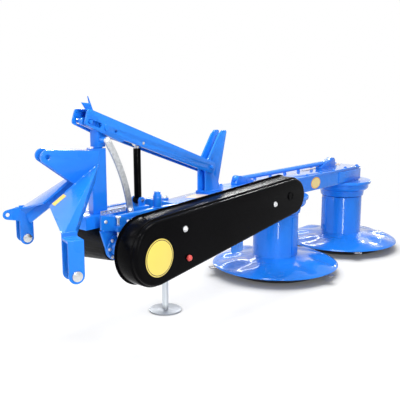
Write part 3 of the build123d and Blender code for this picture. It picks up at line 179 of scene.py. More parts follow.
for name, place, aim, width, height, watts, glint in SOFT_BOXES:
    lamp = bpy.data.objects.new(name, bpy.data.lights.new(name, "AREA"))
    lamp.data.shape = "RECTANGLE"
    lamp.data.size = width
    lamp.data.size_y = height
    lamp.data.energy = watts
    lamp.visible_diffuse = not glint
    lamp.location = place
    lamp.rotation_euler = (Vector(aim) - Vector(place)).to_track_quat("-Z", "Y").to_euler()
    scene.collection.objects.link(lamp)


# Skid dishes: pressed steel saucers that slide over the stubble, near black
# and rubbed bright on the sole. Each turns on the end of its drum's axle.
EDGE_ANGLE = radians(32)
FLAT_ANGLE = radians(0.5)
SAME_PLACE = 1e-5
BEVEL_SLIVER = 1e-6
NOISE_BAND = (0.3, 0.7)


def dress(node, material, slot, edge, segments=2):
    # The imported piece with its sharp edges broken, as sheet and castings have them.
    source = frame["nodes"][node]
    work = bmesh.new()
    work.from_mesh(source.data)
    bmesh.ops.remove_doubles(work, verts=work.verts, dist=SAME_PLACE)
    bmesh.ops.dissolve_limit(
        work, angle_limit=FLAT_ANGLE, use_dissolve_boundaries=False,
        verts=work.verts, edges=work.edges, delimit={"NORMAL"},
    )
    mesh = bpy.data.meshes.new(node + "_finish")
    work.to_mesh(mesh)
    work.free()
    piece = bpy.data.objects.new(node + "_finish", mesh)
    scene.collection.objects.link(piece)
    bevel = piece.modifiers.new("broken_edges", "BEVEL")
    bevel.width = edge
    bevel.segments = segments
    bevel.limit_method = "ANGLE"
    bevel.angle_limit = EDGE_ANGLE
    bevel.use_clamp_overlap = True
    plain(piece)
    work = bmesh.new()
    work.from_mesh(piece.data)
    bmesh.ops.remove_doubles(work, verts=work.verts, dist=BEVEL_SLIVER)
    work.to_mesh(piece.data)
    work.free()
    return fit(piece, material, slot, source["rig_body"], node)


def plain(piece):
    # Modifiers and nodes made into a plain mesh, with smooth shading between sharp edges.
    graph = bpy.context.evaluated_depsgraph_get()
    mesh = bpy.data.meshes.new_from_object(piece.evaluated_get(graph))
    piece.modifiers.clear()
    piece.data = mesh
    mesh.shade_smooth()
    mesh.set_sharp_from_angle(angle=EDGE_ANGLE)
    return piece


def fit(piece, material, slot, body, *replaced):
    # A finished piece given its finish and its body, with the nodes it stands for hidden.
    piece.data.materials.clear()
    piece.data.materials.append(material)
    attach(piece, body)
    if replaced:
        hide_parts(*replaced)
    return piece


def patches(nodes, links, scale, low, high, detail=3.0):
    # Soft blotches between two values, in the piece's own metres.
    place = nodes.new("ShaderNodeTexCoord")
    noise = nodes.new("ShaderNodeTexNoise")
    noise.inputs["Scale"].default_value = scale
    noise.inputs["Detail"].default_value = detail
    links.new(place.outputs["Object"], noise.inputs["Vector"])
    return ranged(nodes, links, noise.outputs["Fac"], *NOISE_BAND, low, high)


def tint(nodes, links, share, first, second):
    # One colour running into another.
    mix = nodes.new("ShaderNodeMix")
    mix.data_type = "RGBA"
    mix.inputs["A"].default_value = (*first, 1)
    mix.inputs["B"].default_value = (*second, 1)
    links.new(share, mix.inputs["Factor"])
    return mix.outputs["Result"]


def grain(nodes, links, shader, scale, depth):
    # Fine unevenness of the surface, as a bump.
    bump = nodes.new("ShaderNodeBump")
    bump.inputs["Strength"].default_value = 1.0
    bump.inputs["Distance"].default_value = depth
    links.new(patches(nodes, links, scale, 0.0, 1.0, 2.0), bump.inputs["Height"])
    links.new(bump.outputs["Normal"], shader.inputs["Normal"])


def height_band(nodes, links, low, high):
    # 0 below one height and 1 above another.
    place = nodes.new("ShaderNodeTexCoord")
    axes = nodes.new("ShaderNodeSeparateXYZ")
    links.new(place.outputs["Object"], axes.inputs[0])
    return ranged(nodes, links, axes.outputs["Z"], low, high, 0.0, 1.0)


RUBBED_HEIGHTS = (0.003, 0.012)
RUBBED_TONES = ((0.30, 0.30, 0.31), (0.022, 0.022, 0.024))
dish_steel, nodes, links, shader = new_material("rubbed_dish_steel")
shader.inputs["Metallic"].default_value = 0.6
rubbed = height_band(nodes, links, *RUBBED_HEIGHTS)
links.new(tint(nodes, links, rubbed, *RUBBED_TONES), shader.inputs["Base Color"])
links.new(patches(nodes, links, 22, 0.34, 0.55), shader.inputs["Roughness"])
grain(nodes, links, shader, 160, 0.0006)
for number in ("1", "2"):
    dress(f"skid_dish_{number}", dish_steel, "dish_steel", 0.0015)


# Collars and drums: cast collars bolted under the gear case, and rolled drum
# tubes with their crop strips, all in azure gloss enamel.
def blotched(name, tones, tone_scale, roughness, rough_scale, metallic=0.0):
    # A finish with soft blotches in its colour and in its gloss.
    material, nodes, links, shader = new_material(name)
    shader.inputs["Metallic"].default_value = metallic
    blend = patches(nodes, links, tone_scale, 0.0, 1.0)
    links.new(tint(nodes, links, blend, *tones), shader.inputs["Base Color"])
    links.new(patches(nodes, links, rough_scale, *roughness), shader.inputs["Roughness"])
    return material, nodes, links, shader


AZURE_TONES = ((0.011, 0.188, 0.74), (0.013, 0.206, 0.80))
blue, nodes, links, shader = blotched("azure_enamel", AZURE_TONES, 3.5, (0.24, 0.36), 9)
shader.inputs["Specular IOR Level"].default_value = 0.08
shader.inputs["Coat Weight"].default_value = 1.0
shader.inputs["Coat IOR"].default_value = 1.28
shader.inputs["Coat Roughness"].default_value = 0.03
grain(nodes, links, shader, 420, 0.00025)
for number in ("1", "2"):
    dress(f"drum_carrier_{number}", blue, "blue_paint", 0.003, 3)
    dress(f"drum_{number}", blue, "blue_paint", 0.002)


# Skirts: one pressing each, a short flared neck and a broad flange with raised
# waves that throw the swath, and a turned-down rim. They turn with the drums.
def tree_inputs(tree, table):
    # Named number inputs for a tree, and the identifiers by which a modifier sets them.
    found = {}
    for name, kind, value in table:
        socket = tree.interface.new_socket(name, in_out="INPUT", socket_type=kind)
        if value is not None:
            socket.default_value = value
        found[name] = socket.identifier
    return found


def sum_node(tree, kind, first, second):
    # One arithmetic step; each side is a socket or a plain number.
    step = tree.nodes.new("ShaderNodeMath")
    step.operation = kind
    for side, value in enumerate((first, second)):
        if isinstance(value, (int, float)):
            step.inputs[side].default_value = value
        elif value is not None:
            tree.links.new(value, step.inputs[side])
    return step.outputs[0]


def drawn_curve(tree, value, points):
    # A profile given as points between 0 and 1, read at a value.
    curve = tree.nodes.new("ShaderNodeFloatCurve")
    line = curve.mapping.curves[0]
    for spare in range(len(points) - 2):
        line.points.new(0.5, 0.5)
    for point, spot in zip(line.points, points):
        point.location = spot
    curve.mapping.update()
    tree.links.new(value, curve.inputs["Value"])
    return curve.outputs["Value"]


SKIRT_SHEET = 0.004
STEPS_ROUND = 217
STEPS_OUT = 45
SKIRT_PROFILE = [
    # share of the way out, share of the height
    (0.0, 0.90), (0.10, 0.82), (0.30, 0.667), (0.55, 0.476), (0.82, 0.28), (0.95, 0.16), (1.0, 0.0),
]
WAVE_WINDOW = [
    # share of the way out, share of the wave
    (0.0, 0.0), (0.16, 0.02), (0.40, 0.75), (0.62, 1.0), (0.84, 0.55), (0.97, 0.02), (1.0, 0.0),
]
skirt_tree = bpy.data.node_groups.new("wavy_skirt", "GeometryNodeTree")
skirt_sockets = tree_inputs(skirt_tree, [
    ("Axis X", "NodeSocketFloat", 0.0),
    ("Neck Radius", "NodeSocketFloat", 0.134),
    ("Rim Radius", "NodeSocketFloat", 0.375),
    ("Neck Height", "NodeSocketFloat", 0.118),
    ("Rim Height", "NodeSocketFloat", 0.055),
    ("Waves", "NodeSocketFloat", 9.0),
    ("Wave Height", "NodeSocketFloat", 0.015),
    ("Sweep", "NodeSocketFloat", 1.1),
    ("Finish", "NodeSocketMaterial", None),
])
skirt_tree.interface.new_socket("Geometry", in_out="OUTPUT", socket_type="NodeSocketGeometry")
given = skirt_tree.nodes.new("NodeGroupInput").outputs
grid = skirt_tree.nodes.new("GeometryNodeMeshGrid")
grid.inputs["Vertices X"].default_value = STEPS_ROUND
grid.inputs["Vertices Y"].default_value = STEPS_OUT
spot = skirt_tree.nodes.new("GeometryNodeInputPosition")
axes = skirt_tree.nodes.new("ShaderNodeSeparateXYZ")
skirt_tree.links.new(spot.outputs[0], axes.inputs[0])
turn = sum_node(skirt_tree, "MULTIPLY", sum_node(skirt_tree, "ADD", axes.outputs["X"], 0.5), 2 * pi)
outward = sum_node(skirt_tree, "ADD", axes.outputs["Y"], 0.5)
reach = sum_node(skirt_tree, "SUBTRACT", given["Rim Radius"], given["Neck Radius"])
radius = sum_node(skirt_tree, "ADD", given["Neck Radius"], sum_node(skirt_tree, "MULTIPLY", outward, reach))
drop = sum_node(skirt_tree, "SUBTRACT", given["Neck Height"], given["Rim Height"])
profile = drawn_curve(skirt_tree, outward, SKIRT_PROFILE)
sheet = sum_node(skirt_tree, "ADD", given["Rim Height"], sum_node(skirt_tree, "MULTIPLY", profile, drop))
swept = sum_node(skirt_tree, "ADD", sum_node(skirt_tree, "MULTIPLY", turn, given["Waves"]),
                 sum_node(skirt_tree, "MULTIPLY", outward, given["Sweep"]))
raised = sum_node(skirt_tree, "ADD", sum_node(skirt_tree, "COSINE", swept, None), 1.0)
swell = sum_node(skirt_tree, "MULTIPLY", raised, 0.5)
window = drawn_curve(skirt_tree, outward, WAVE_WINDOW)
wave = sum_node(skirt_tree, "MULTIPLY", sum_node(skirt_tree, "MULTIPLY", swell, window), given["Wave Height"])
put = skirt_tree.nodes.new("ShaderNodeCombineXYZ")
across = sum_node(skirt_tree, "MULTIPLY", radius, sum_node(skirt_tree, "COSINE", turn, None))
skirt_tree.links.new(sum_node(skirt_tree, "ADD", across, given["Axis X"]), put.inputs["X"])
aside = sum_node(skirt_tree, "MULTIPLY", radius, sum_node(skirt_tree, "SINE", turn, None))
skirt_tree.links.new(aside, put.inputs["Y"])
skirt_tree.links.new(sum_node(skirt_tree, "ADD", sheet, wave), put.inputs["Z"])
shaped = skirt_tree.nodes.new("GeometryNodeSetPosition")
skirt_tree.links.new(grid.outputs["Mesh"], shaped.inputs["Geometry"])
skirt_tree.links.new(put.outputs[0], shaped.inputs["Position"])
closed = skirt_tree.nodes.new("GeometryNodeMergeByDistance")
closed.inputs["Distance"].default_value = SAME_PLACE
skirt_tree.links.new(shaped.outputs[0], closed.inputs["Geometry"])
upward = skirt_tree.nodes.new("GeometryNodeFlipFaces")
skirt_tree.links.new(closed.outputs[0], upward.inputs["Mesh"])


def close_tree(tree, given, result):
    # Every tree ends in plain faces with their finish on them.
    real = tree.nodes.new("GeometryNodeRealizeInstances")
    tree.links.new(result, real.inputs["Geometry"])
    finish = tree.nodes.new("GeometryNodeSetMaterial")
    tree.links.new(real.outputs[0], finish.inputs["Geometry"])
    tree.links.new(given["Finish"], finish.inputs["Material"])
    end = tree.nodes.new("NodeGroupOutput")
    tree.links.new(finish.outputs[0], end.inputs[0])


def grown(name, tree, sockets, mesh, **values):
    # An object with a tree on it, and the tree's named inputs set before it is first evaluated.
    piece = bpy.data.objects.new(name, mesh)
    modifier = piece.modifiers.new(name, "NODES")
    modifier.node_group = tree
    for label, value in values.items():
        modifier[sockets[label.replace("_", " ")]] = value
    scene.collection.objects.link(piece)
    return piece


close_tree(skirt_tree, given, upward.outputs[0])
for number, axis_x, body in (("1", 0.0, "first_drum"), ("2", 0.8, "second_drum")):
    skirt = grown(
        f"skirt_{number}_pressing", skirt_tree, skirt_sockets, bpy.data.meshes.new("skirt_seed"),
        Axis_X=axis_x, Finish=blue,
    )
    wall = skirt.modifiers.new("sheet", "SOLIDIFY")
    wall.thickness = SKIRT_SHEET
    wall.offset = -1.0
    plain(skirt)
    fit(skirt, blue, "blue_paint", body, f"skirt_{number}")


# Knives: hardened flat blades on bolts under the skirt, three to a drum, dark
# and blotched with wear.
KNIFE_TONES = ((0.10, 0.10, 0.105), (0.26, 0.26, 0.27))
knife_steel = blotched("ground_knife_steel", KNIFE_TONES, 30, (0.28, 0.45), 60, 0.9)[0]
for number in ("1", "2"):
    dress(f"knives_{number}", knife_steel, "knife_steel", 0.0008)


# Gear case with its cover plate, the inner frame, the upright and the rod for
# the cloth: welded plate and folded sheet, painted as one with the drums.
for node, edge in (
    ("gear_case", 0.004), ("case_cover", 0.002), ("inner_frame", 0.004), ("upright", 0.0015),
    ("guard_rod", 0.002), ("latch_tube", 0.001), ("guard_bracket", 0.001),
):
    dress(node, blue, "blue_paint", edge)


# Screws of the cover plate: hexagon heads on washers in two rows along the bar,
# painted over with it. The zinc-plated ones further on are made the same way.
WASHER_SIDES = 20
HEAD_SIDES = 6
CROWN_BASE = 0.98
CROWN_TOP = 0.78
CROWN_DEPTH = 0.25
CROWN_SEAT = 0.96
bolt_tree = bpy.data.node_groups.new("hexagon_screws", "GeometryNodeTree")
bolt_sockets = tree_inputs(bolt_tree, [
    ("Geometry", "NodeSocketGeometry", None),
    ("Head Radius", "NodeSocketFloat", 0.008),
    ("Head Height", "NodeSocketFloat", 0.005),
    ("Washer Radius", "NodeSocketFloat", 0.011),
    ("Washer Height", "NodeSocketFloat", 0.0018),
    ("Finish", "NodeSocketMaterial", None),
])
bolt_tree.interface.new_socket("Geometry", in_out="OUTPUT", socket_type="NodeSocketGeometry")
given = bolt_tree.nodes.new("NodeGroupInput").outputs


def lifted(tree, mesh, height):
    # One piece of the screw raised along its own axis.
    move = tree.nodes.new("GeometryNodeTransform")
    tree.links.new(mesh, move.inputs["Geometry"])
    lift = tree.nodes.new("ShaderNodeCombineXYZ")
    tree.links.new(height, lift.inputs["Z"])
    tree.links.new(lift.outputs[0], move.inputs["Translation"])
    return move.outputs[0]


washer = bolt_tree.nodes.new("GeometryNodeMeshCylinder")
washer.inputs["Vertices"].default_value = WASHER_SIDES
bolt_tree.links.new(given["Washer Radius"], washer.inputs["Radius"])
bolt_tree.links.new(given["Washer Height"], washer.inputs["Depth"])
head = bolt_tree.nodes.new("GeometryNodeMeshCylinder")
head.inputs["Vertices"].default_value = HEAD_SIDES
bolt_tree.links.new(given["Head Radius"], head.inputs["Radius"])
bolt_tree.links.new(given["Head Height"], head.inputs["Depth"])
crown = bolt_tree.nodes.new("GeometryNodeMeshCone")
crown.inputs["Vertices"].default_value = HEAD_SIDES
for socket, size, part_of in (
    ("Radius Bottom", "Head Radius", CROWN_BASE), ("Radius Top", "Head Radius", CROWN_TOP),
    ("Depth", "Head Height", CROWN_DEPTH),
):
    bolt_tree.links.new(sum_node(bolt_tree, "MULTIPLY", given[size], part_of), crown.inputs[socket])
washer_middle = sum_node(bolt_tree, "MULTIPLY", given["Washer Height"], 0.5)
head_half = sum_node(bolt_tree, "MULTIPLY", given["Head Height"], 0.5)
head_middle = sum_node(bolt_tree, "ADD", given["Washer Height"], head_half)
crown_rise = sum_node(bolt_tree, "MULTIPLY", given["Head Height"], CROWN_SEAT)
head_top = sum_node(bolt_tree, "ADD", given["Washer Height"], crown_rise)
screw = bolt_tree.nodes.new("GeometryNodeJoinGeometry")
for part in (
    lifted(bolt_tree, washer.outputs["Mesh"], washer_middle),
    lifted(bolt_tree, head.outputs["Mesh"], head_middle),
    lifted(bolt_tree, crown.outputs["Mesh"], head_top),
):
    bolt_tree.links.new(part, screw.inputs[0])
facing = bolt_tree.nodes.new("GeometryNodeInputNamedAttribute")
facing.data_type = "FLOAT_VECTOR"
facing.inputs["Name"].default_value = "facing"
aim = bolt_tree.nodes.new("FunctionNodeAlignRotationToVector")
aim.axis = "Z"
bolt_tree.links.new(facing.outputs["Attribute"], aim.inputs["Vector"])
placed = bolt_tree.nodes.new("GeometryNodeInstanceOnPoints")
bolt_tree.links.new(given["Geometry"], placed.inputs["Points"])
bolt_tree.links.new(screw.outputs[0], placed.inputs["Instance"])
bolt_tree.links.new(aim.outputs[0], placed.inputs["Rotation"])
close_tree(bolt_tree, given, placed.outputs[0])


def screws(name, body, material, slot, places, **sizes):
    # Screws at a list of places, each with the way its head faces.
    mesh = bpy.data.meshes.new(name)
    mesh.from_pydata([spot for spot, way in places], [], [])
    ways = mesh.attributes.new("facing", "FLOAT_VECTOR", "POINT")
    ways.data.foreach_set("vector", [part for spot, way in places for part in way])
    piece = grown(name, bolt_tree, bolt_sockets, mesh, Finish=material, **sizes)
    return fit(plain(piece), material, slot, body)


UP = (0, 0, 1)
NEAR = (0, -1, 0)
COVER_TOP = 0.567
COVER_ROWS = (-0.082, 0.082)
ROW_START = -0.42
ROW_PITCH = 0.1575
ROW_COUNT = 9
cover_places = [
    ((ROW_START + ROW_PITCH * step, row, COVER_TOP), UP) for row in COVER_ROWS for step in range(ROW_COUNT)
]
screws("cover_screws", "mower_bar", blue, "blue_paint", cover_places)


# Weld seams: small rippled fillets along the joints of the plates, made as
# a bead that follows each joint's line, and painted over.
BEAD_STEP = 0.0035
BEAD_SIDES = 8
RIPPLE_SCALE = 190
bead_tree = bpy.data.node_groups.new("weld_bead", "GeometryNodeTree")
bead_sockets = tree_inputs(bead_tree, [
    ("Geometry", "NodeSocketGeometry", None),
    ("Bead Radius", "NodeSocketFloat", 0.004),
    ("Ripple", "NodeSocketFloat", 0.0009),
    ("Finish", "NodeSocketMaterial", None),
])
bead_tree.interface.new_socket("Geometry", in_out="OUTPUT", socket_type="NodeSocketGeometry")
given = bead_tree.nodes.new("NodeGroupInput").outputs
line = bead_tree.nodes.new("GeometryNodeMeshToCurve")
bead_tree.links.new(given["Geometry"], line.inputs["Mesh"])
steps = bead_tree.nodes.new("GeometryNodeResampleCurve")
steps.mode = "LENGTH"
steps.inputs["Length"].default_value = BEAD_STEP
bead_tree.links.new(line.outputs[0], steps.inputs["Curve"])
ring = bead_tree.nodes.new("GeometryNodeCurvePrimitiveCircle")
ring.inputs["Resolution"].default_value = BEAD_SIDES
bead_tree.links.new(given["Bead Radius"], ring.inputs["Radius"])
bead = bead_tree.nodes.new("GeometryNodeCurveToMesh")
bead.inputs["Fill Caps"].default_value = True
bead_tree.links.new(steps.outputs[0], bead.inputs["Curve"])
bead_tree.links.new(ring.outputs[0], bead.inputs["Profile Curve"])
speckle = bead_tree.nodes.new("ShaderNodeTexNoise")
speckle.inputs["Scale"].default_value = RIPPLE_SCALE
uneven = bead_tree.nodes.new("ShaderNodeVectorMath")
uneven.operation = "SUBTRACT"
uneven.inputs[1].default_value = (0.5, 0.5, 0.5)
bead_tree.links.new(speckle.outputs["Color"], uneven.inputs[0])
throw = bead_tree.nodes.new("ShaderNodeVectorMath")
throw.operation = "SCALE"
bead_tree.links.new(uneven.outputs[0], throw.inputs[0])
bead_tree.links.new(given["Ripple"], throw.inputs["Scale"])
rippled = bead_tree.nodes.new("GeometryNodeSetPosition")
bead_tree.links.new(bead.outputs[0], rippled.inputs["Geometry"])
bead_tree.links.new(throw.outputs[0], rippled.inputs["Offset"])
close_tree(bead_tree, given, rippled.outputs[0])


def seams(name, body, paths, radius=0.004):
    # Beads along a list of point runs.
    points = [spot for path in paths for spot in path]
    edges = []
    start = 0
    for path in paths:
        edges += [(start + step, start + step + 1) for step in range(len(path) - 1)]
        start += len(path)
    mesh = bpy.data.meshes.new(name)
    mesh.from_pydata(points, edges, [])
    piece = grown(name, bead_tree, bead_sockets, mesh, Bead_Radius=radius, Finish=blue)
    return fit(plain(piece), blue, "blue_paint", body)


UPRIGHT_ENDS = (-0.674, -0.558)
UPRIGHT_SIDES = (-0.030, 0.030)
BASE_SIDES = (-0.040, 0.040)
BASE_TOP = 0.575
LATCH_PLACE = (-1.096, -0.0975)
LATCH_RADIUS = 0.0195
RING_STEPS = 24
ring_turns = [2 * pi * step / RING_STEPS for step in range(RING_STEPS + 1)]
latch_ring = [
    (LATCH_PLACE[0] + LATCH_RADIUS * cos(turn), LATCH_PLACE[1] + LATCH_RADIUS * sin(turn), COVER_TOP)
    for turn in ring_turns
]
upright_feet = [[(x, side, BASE_TOP) for x in UPRIGHT_ENDS] for side in UPRIGHT_SIDES]
base_edges = [[(x, side, COVER_TOP) for x in UPRIGHT_ENDS] for side in BASE_SIDES]
seams("bar_welds", "mower_bar", upright_feet + base_edges + [latch_ring], 0.0035)


# Pins: turned bright steel where they are drawn or greased, and painted over
# where they were fitted before the bar and the boom were sprayed.
BRIGHT_TONES = ((0.56, 0.57, 0.58), (0.70, 0.71, 0.72))
bright_steel = blotched("bright_zinc_steel", BRIGHT_TONES, 40, (0.18, 0.34), 80, 1.0)[0]
for node in ("hinge_pin", "ram_pin", "rod_pin", "hitch_pin_near", "hitch_pin_far"):
    dress(node, bright_steel, "bright_steel", 0.001)
for node in ("boom_pin", "guide_pin"):
    dress(node, blue, "blue_paint", 0.001)


# Belt guard: two deep pressings of black gloss sheet over both pulleys, with a
# blank yellow sign stuck on the face, two white screws, a red knob and a plug.
GUARD_TONES = ((0.0014, 0.0014, 0.0018), (0.0024, 0.0024, 0.0030))
black_guard, nodes, links, shader = blotched("black_gloss_sheet", GUARD_TONES, 4, (0.05, 0.10), 12)
shader.inputs["Specular IOR Level"].default_value = 0.03
grain(nodes, links, shader, 300, 0.0002)
for node in ("guard_cover", "guard_back"):
    dress(node, black_guard, "black_guard", 0.004, 3)


def turned(name, profile, middle, way, steps=40):
    # A lathe-turned piece: radius and height pairs from its middle out, round an axis.
    axis = Vector(way).normalized()
    side = axis.orthogonal().normalized()
    other = axis.cross(side)
    spokes = [side * cos(2 * pi * k / steps) + other * sin(2 * pi * k / steps) for k in range(steps)]
    work = bmesh.new()
    rings = []
    for radius, height in profile:
        base = Vector(middle) + axis * height
        if radius == 0:
            rings.append([work.verts.new(base)])
            continue
        rings.append([work.verts.new(base + spoke * radius) for spoke in spokes])
    for inner, outer in zip(rings, rings[1:]):
        for k in range(steps):
            after = (k + 1) % steps
            stops = ((inner, k), (outer, k), (outer, after), (inner, after))
            corners = [ring[at % len(ring)] for ring, at in stops]
            work.faces.new(list(dict.fromkeys(corners)))
    bmesh.ops.recalc_face_normals(work, faces=work.faces)
    mesh = bpy.data.meshes.new(name)
    work.to_mesh(mesh)
    work.free()
    mesh.shade_smooth()
    mesh.set_sharp_from_angle(angle=EDGE_ANGLE)
    piece = bpy.data.objects.new(name, mesh)
    scene.collection.objects.link(piece)
    return piece


RING_BLUR = 0.0005


def disc_rings(nodes, links, middle, bands):
    # Colours by distance from a middle: each band runs out to its own radius.
    place = nodes.new("ShaderNodeTexCoord")
    away = nodes.new("ShaderNodeVectorMath")
    away.operation = "DISTANCE"
    away.inputs[1].default_value = middle
    links.new(place.outputs["Object"], away.inputs[0])
    colour = None
    for radius, rgb in bands:
        if colour is None:
            colour = rgb
            edge = radius
            continue
        step = ranged(nodes, links, away.outputs["Value"], edge, edge + RING_BLUR, 0.0, 1.0)
        mix = nodes.new("ShaderNodeMix")
        mix.data_type = "RGBA"
        if isinstance(colour, tuple):
            mix.inputs["A"].default_value = (*colour, 1)
        else:
            links.new(colour, mix.inputs["A"])
        mix.inputs["B"].default_value = (*rgb, 1)
        links.new(step, mix.inputs["Factor"])
        colour = mix.outputs["Result"]
        edge = radius
    return colour


GUARD_FACE = -0.360
SIGN_PLACE = (-1.350, GUARD_FACE, 0.430)
SIGN_RADIUS = 0.079
YELLOW = (0.76, 0.60, 0.110)
INK = (0.02, 0.02, 0.02)
SIGN_BANDS = [
    # outer radius of each band, its colour
    (0.0712, YELLOW), (0.0745, INK), (0.0785, YELLOW), (SIGN_RADIUS, INK),
]
sign_vinyl, nodes, links, shader = new_material("yellow_sign_vinyl")
links.new(disc_rings(nodes, links, SIGN_PLACE, SIGN_BANDS), shader.inputs["Base Color"])
links.new(patches(nodes, links, 40, 0.30, 0.42), shader.inputs["Roughness"])
sign_profile = [
    (0, 0.0008), (SIGN_RADIUS - 0.001, 0.0008), (SIGN_RADIUS, 0.0004), (SIGN_RADIUS, -0.001), (0, -0.001),
]
fit(turned("round_sign", sign_profile, SIGN_PLACE, NEAR, 72), sign_vinyl, "black_guard", "mower_bar")

ZINC_TONES = ((0.66, 0.68, 0.70), (0.82, 0.83, 0.84))
zinc = blotched("white_zinc_plate", ZINC_TONES, 60, (0.24, 0.4), 90, 0.75)[0]
guard_places = [((-1.197, GUARD_FACE, 0.523), NEAR), ((-0.538, GUARD_FACE, 0.532), NEAR)]
screws(
    "guard_screws", "mower_bar", zinc, "galvanised", guard_places,
    Head_Radius=0.010, Head_Height=0.006, Washer_Radius=0.0135,
)

RED_TONES = ((0.55, 0.05, 0.045), (0.66, 0.08, 0.07))
red_knob = blotched("red_plastic_knob", RED_TONES, 90, (0.34, 0.48), 120)[0]
KNOB_PLACE = (-1.178, GUARD_FACE, 0.395)
KNOB_PROFILE = [
    # radius, height above the face
    (0, 0.016), (0.006, 0.0155), (0.011, 0.013), (0.0135, 0.009),
    (0.0135, 0.004), (0.011, 0.0), (0.011, -0.002), (0, -0.002),
]
fit(turned("red_knob", KNOB_PROFILE, KNOB_PLACE, NEAR), red_knob, "black_plastic", "mower_bar")

PLUG_PLACE = (-0.401, GUARD_FACE, 0.555)
PLUG_PROFILE = [
    # radius, height above the face
    (0, 0.002), (0.014, 0.002), (0.017, 0.005), (0.021, 0.005), (0.023, 0.002), (0.023, -0.001), (0, -0.001),
]
fit(turned("guard_plug", PLUG_PROFILE, PLUG_PLACE, NEAR), black_guard, "black_guard", "mower_bar")


# Drive: gusset and hanger plate on the near rail, bearing housings with bolted
# flanges, the moulded shield and the splined input shaft.
PLASTIC_TONES = ((0.004, 0.004, 0.0045), (0.008, 0.008, 0.009))
black_plastic, nodes, links, shader = blotched("black_moulded_plastic", PLASTIC_TONES, 8, (0.32, 0.46), 30)
shader.inputs["Specular IOR Level"].default_value = 0.10
grain(nodes, links, shader, 900, 0.0004)
for node in ("rail_gusset", "hanger", "drive_housing", "driven_housing"):
    dress(node, blue, "blue_paint", 0.0015)
dress("pto_shield", black_plastic, "black_plastic", 0.002)
dress("pto_stub", bright_steel, "bright_steel", 0.001)
DRIVE_PLACE = (-1.345, 0.430)
FLANGE_FACE = -0.109
FLANGE_CIRCLE = 0.0495
FLANGE_SCREWS = 8
flange_turns = [2 * pi * step / FLANGE_SCREWS for step in range(FLANGE_SCREWS)]
flange_spots = [
    (DRIVE_PLACE[0] + FLANGE_CIRCLE * cos(turn), DRIVE_PLACE[1] + FLANGE_CIRCLE * sin(turn))
    for turn in flange_turns
]
flange_places = [((x, FLANGE_FACE, z), NEAR) for x, z in flange_spots]
GUSSET_FACE = -0.122
gusset_places = [((x, GUSSET_FACE, z), NEAR) for x, z in ((-1.424, 0.556), (-1.300, 0.540))]
screws(
    "drive_screws", "mower_bar", zinc, "galvanised", flange_places + gusset_places,
    Head_Radius=0.006, Head_Height=0.004, Washer_Radius=0.008, Washer_Height=0.0012,
)


# Stickers of the bar: blank printed film, a round one on the beam's near side
# and plain patches on the neck and on the cover plate.
FILM_HALF = 0.0005


def film(name, body, material, corners, lift=0.0):
    # A flat patch of film on the paint, from the corners of its outline.
    face = [Vector(corner) for corner in corners]
    out = (face[1] - face[0]).cross(face[2] - face[0]).normalized()
    count = len(face)
    points = [corner + out * height for height in (lift + FILM_HALF, lift - FILM_HALF) for corner in face]
    ends = [tuple(range(count)), tuple(range(2 * count - 1, count - 1, -1))]
    sides = [(k, k + count, (k + 1) % count + count, (k + 1) % count) for k in range(count)]
    mesh = bpy.data.meshes.new(name)
    mesh.from_pydata(points, [], ends + sides)
    piece = bpy.data.objects.new(name, mesh)
    scene.collection.objects.link(piece)
    return fit(piece, material, "blue_paint", body)


def film_finish(name, first, second):
    # Matt printed film between two near colours.
    return blotched(name, (first, second), 26, (0.34, 0.46), 40)[0]


orange_film = film_finish("orange_rim_film", (0.62, 0.28, 0.02), (0.70, 0.34, 0.03))
cream_film = film_finish("cream_film", (0.78, 0.60, 0.22), (0.84, 0.68, 0.30))
buff_film = film_finish("buff_patch_film", (0.62, 0.44, 0.30), (0.80, 0.68, 0.52))
BEAM_STICKER_PLACE = (0.288, -0.095, 0.514)
OUTLINE_STEPS = 48
outline_turns = [2 * pi * step / OUTLINE_STEPS for step in range(OUTLINE_STEPS)]
for name, material, half_width, half_height, lift in (
    ("beam_sticker_rim", orange_film, 0.054, 0.036, 0.0),
    ("beam_sticker", cream_film, 0.047, 0.031, 0.0006),
):
    middle = Vector(BEAM_STICKER_PLACE)
    outline = [
        middle + Vector((half_width * cos(turn), 0, half_height * sin(turn))) for turn in outline_turns
    ]
    film(name, "mower_bar", material, outline, lift)

NECK_CORNERS = [(-0.838, -0.028), (-0.793, -0.105), (-0.690, -0.075), (-0.727, 0.005)]
COVER_CORNERS = [(0.377, 0.066), (0.436, 0.052), (0.640, 0.068), (0.546, 0.076)]
END_CORNERS = [(0.778, 0.074), (0.800, 0.026), (0.852, 0.050), (0.846, 0.076)]
for name, corners in (
    ("neck_sticker", NECK_CORNERS), ("cover_sticker", COVER_CORNERS), ("end_sticker", END_CORNERS),
):
    film(name, "mower_bar", buff_film, [(x, y, COVER_TOP) for x, y in corners])


# Stand: a smooth zinc leg with a round foot, darker below a set height at the
# foot, in a welded sleeve, and the zinc pin that locks the bar.
FOOT_HEIGHTS = (0.012, 0.035)
STAND_TONES = ((0.28, 0.30, 0.33), (0.60, 0.64, 0.68))
stand_zinc, nodes, links, shader = new_material("smooth_stand_zinc")
shader.inputs["Metallic"].default_value = 0.6
above_foot = height_band(nodes, links, *FOOT_HEIGHTS)
links.new(tint(nodes, links, above_foot, *STAND_TONES), shader.inputs["Base Color"])
links.new(patches(nodes, links, 70, 0.34, 0.5), shader.inputs["Roughness"])
dress("stand_sleeve", blue, "blue_paint", 0.001)
dress("stand_leg", stand_zinc, "galvanised", 0.001)
dress("lock_pin", zinc, "galvanised", 0.001)


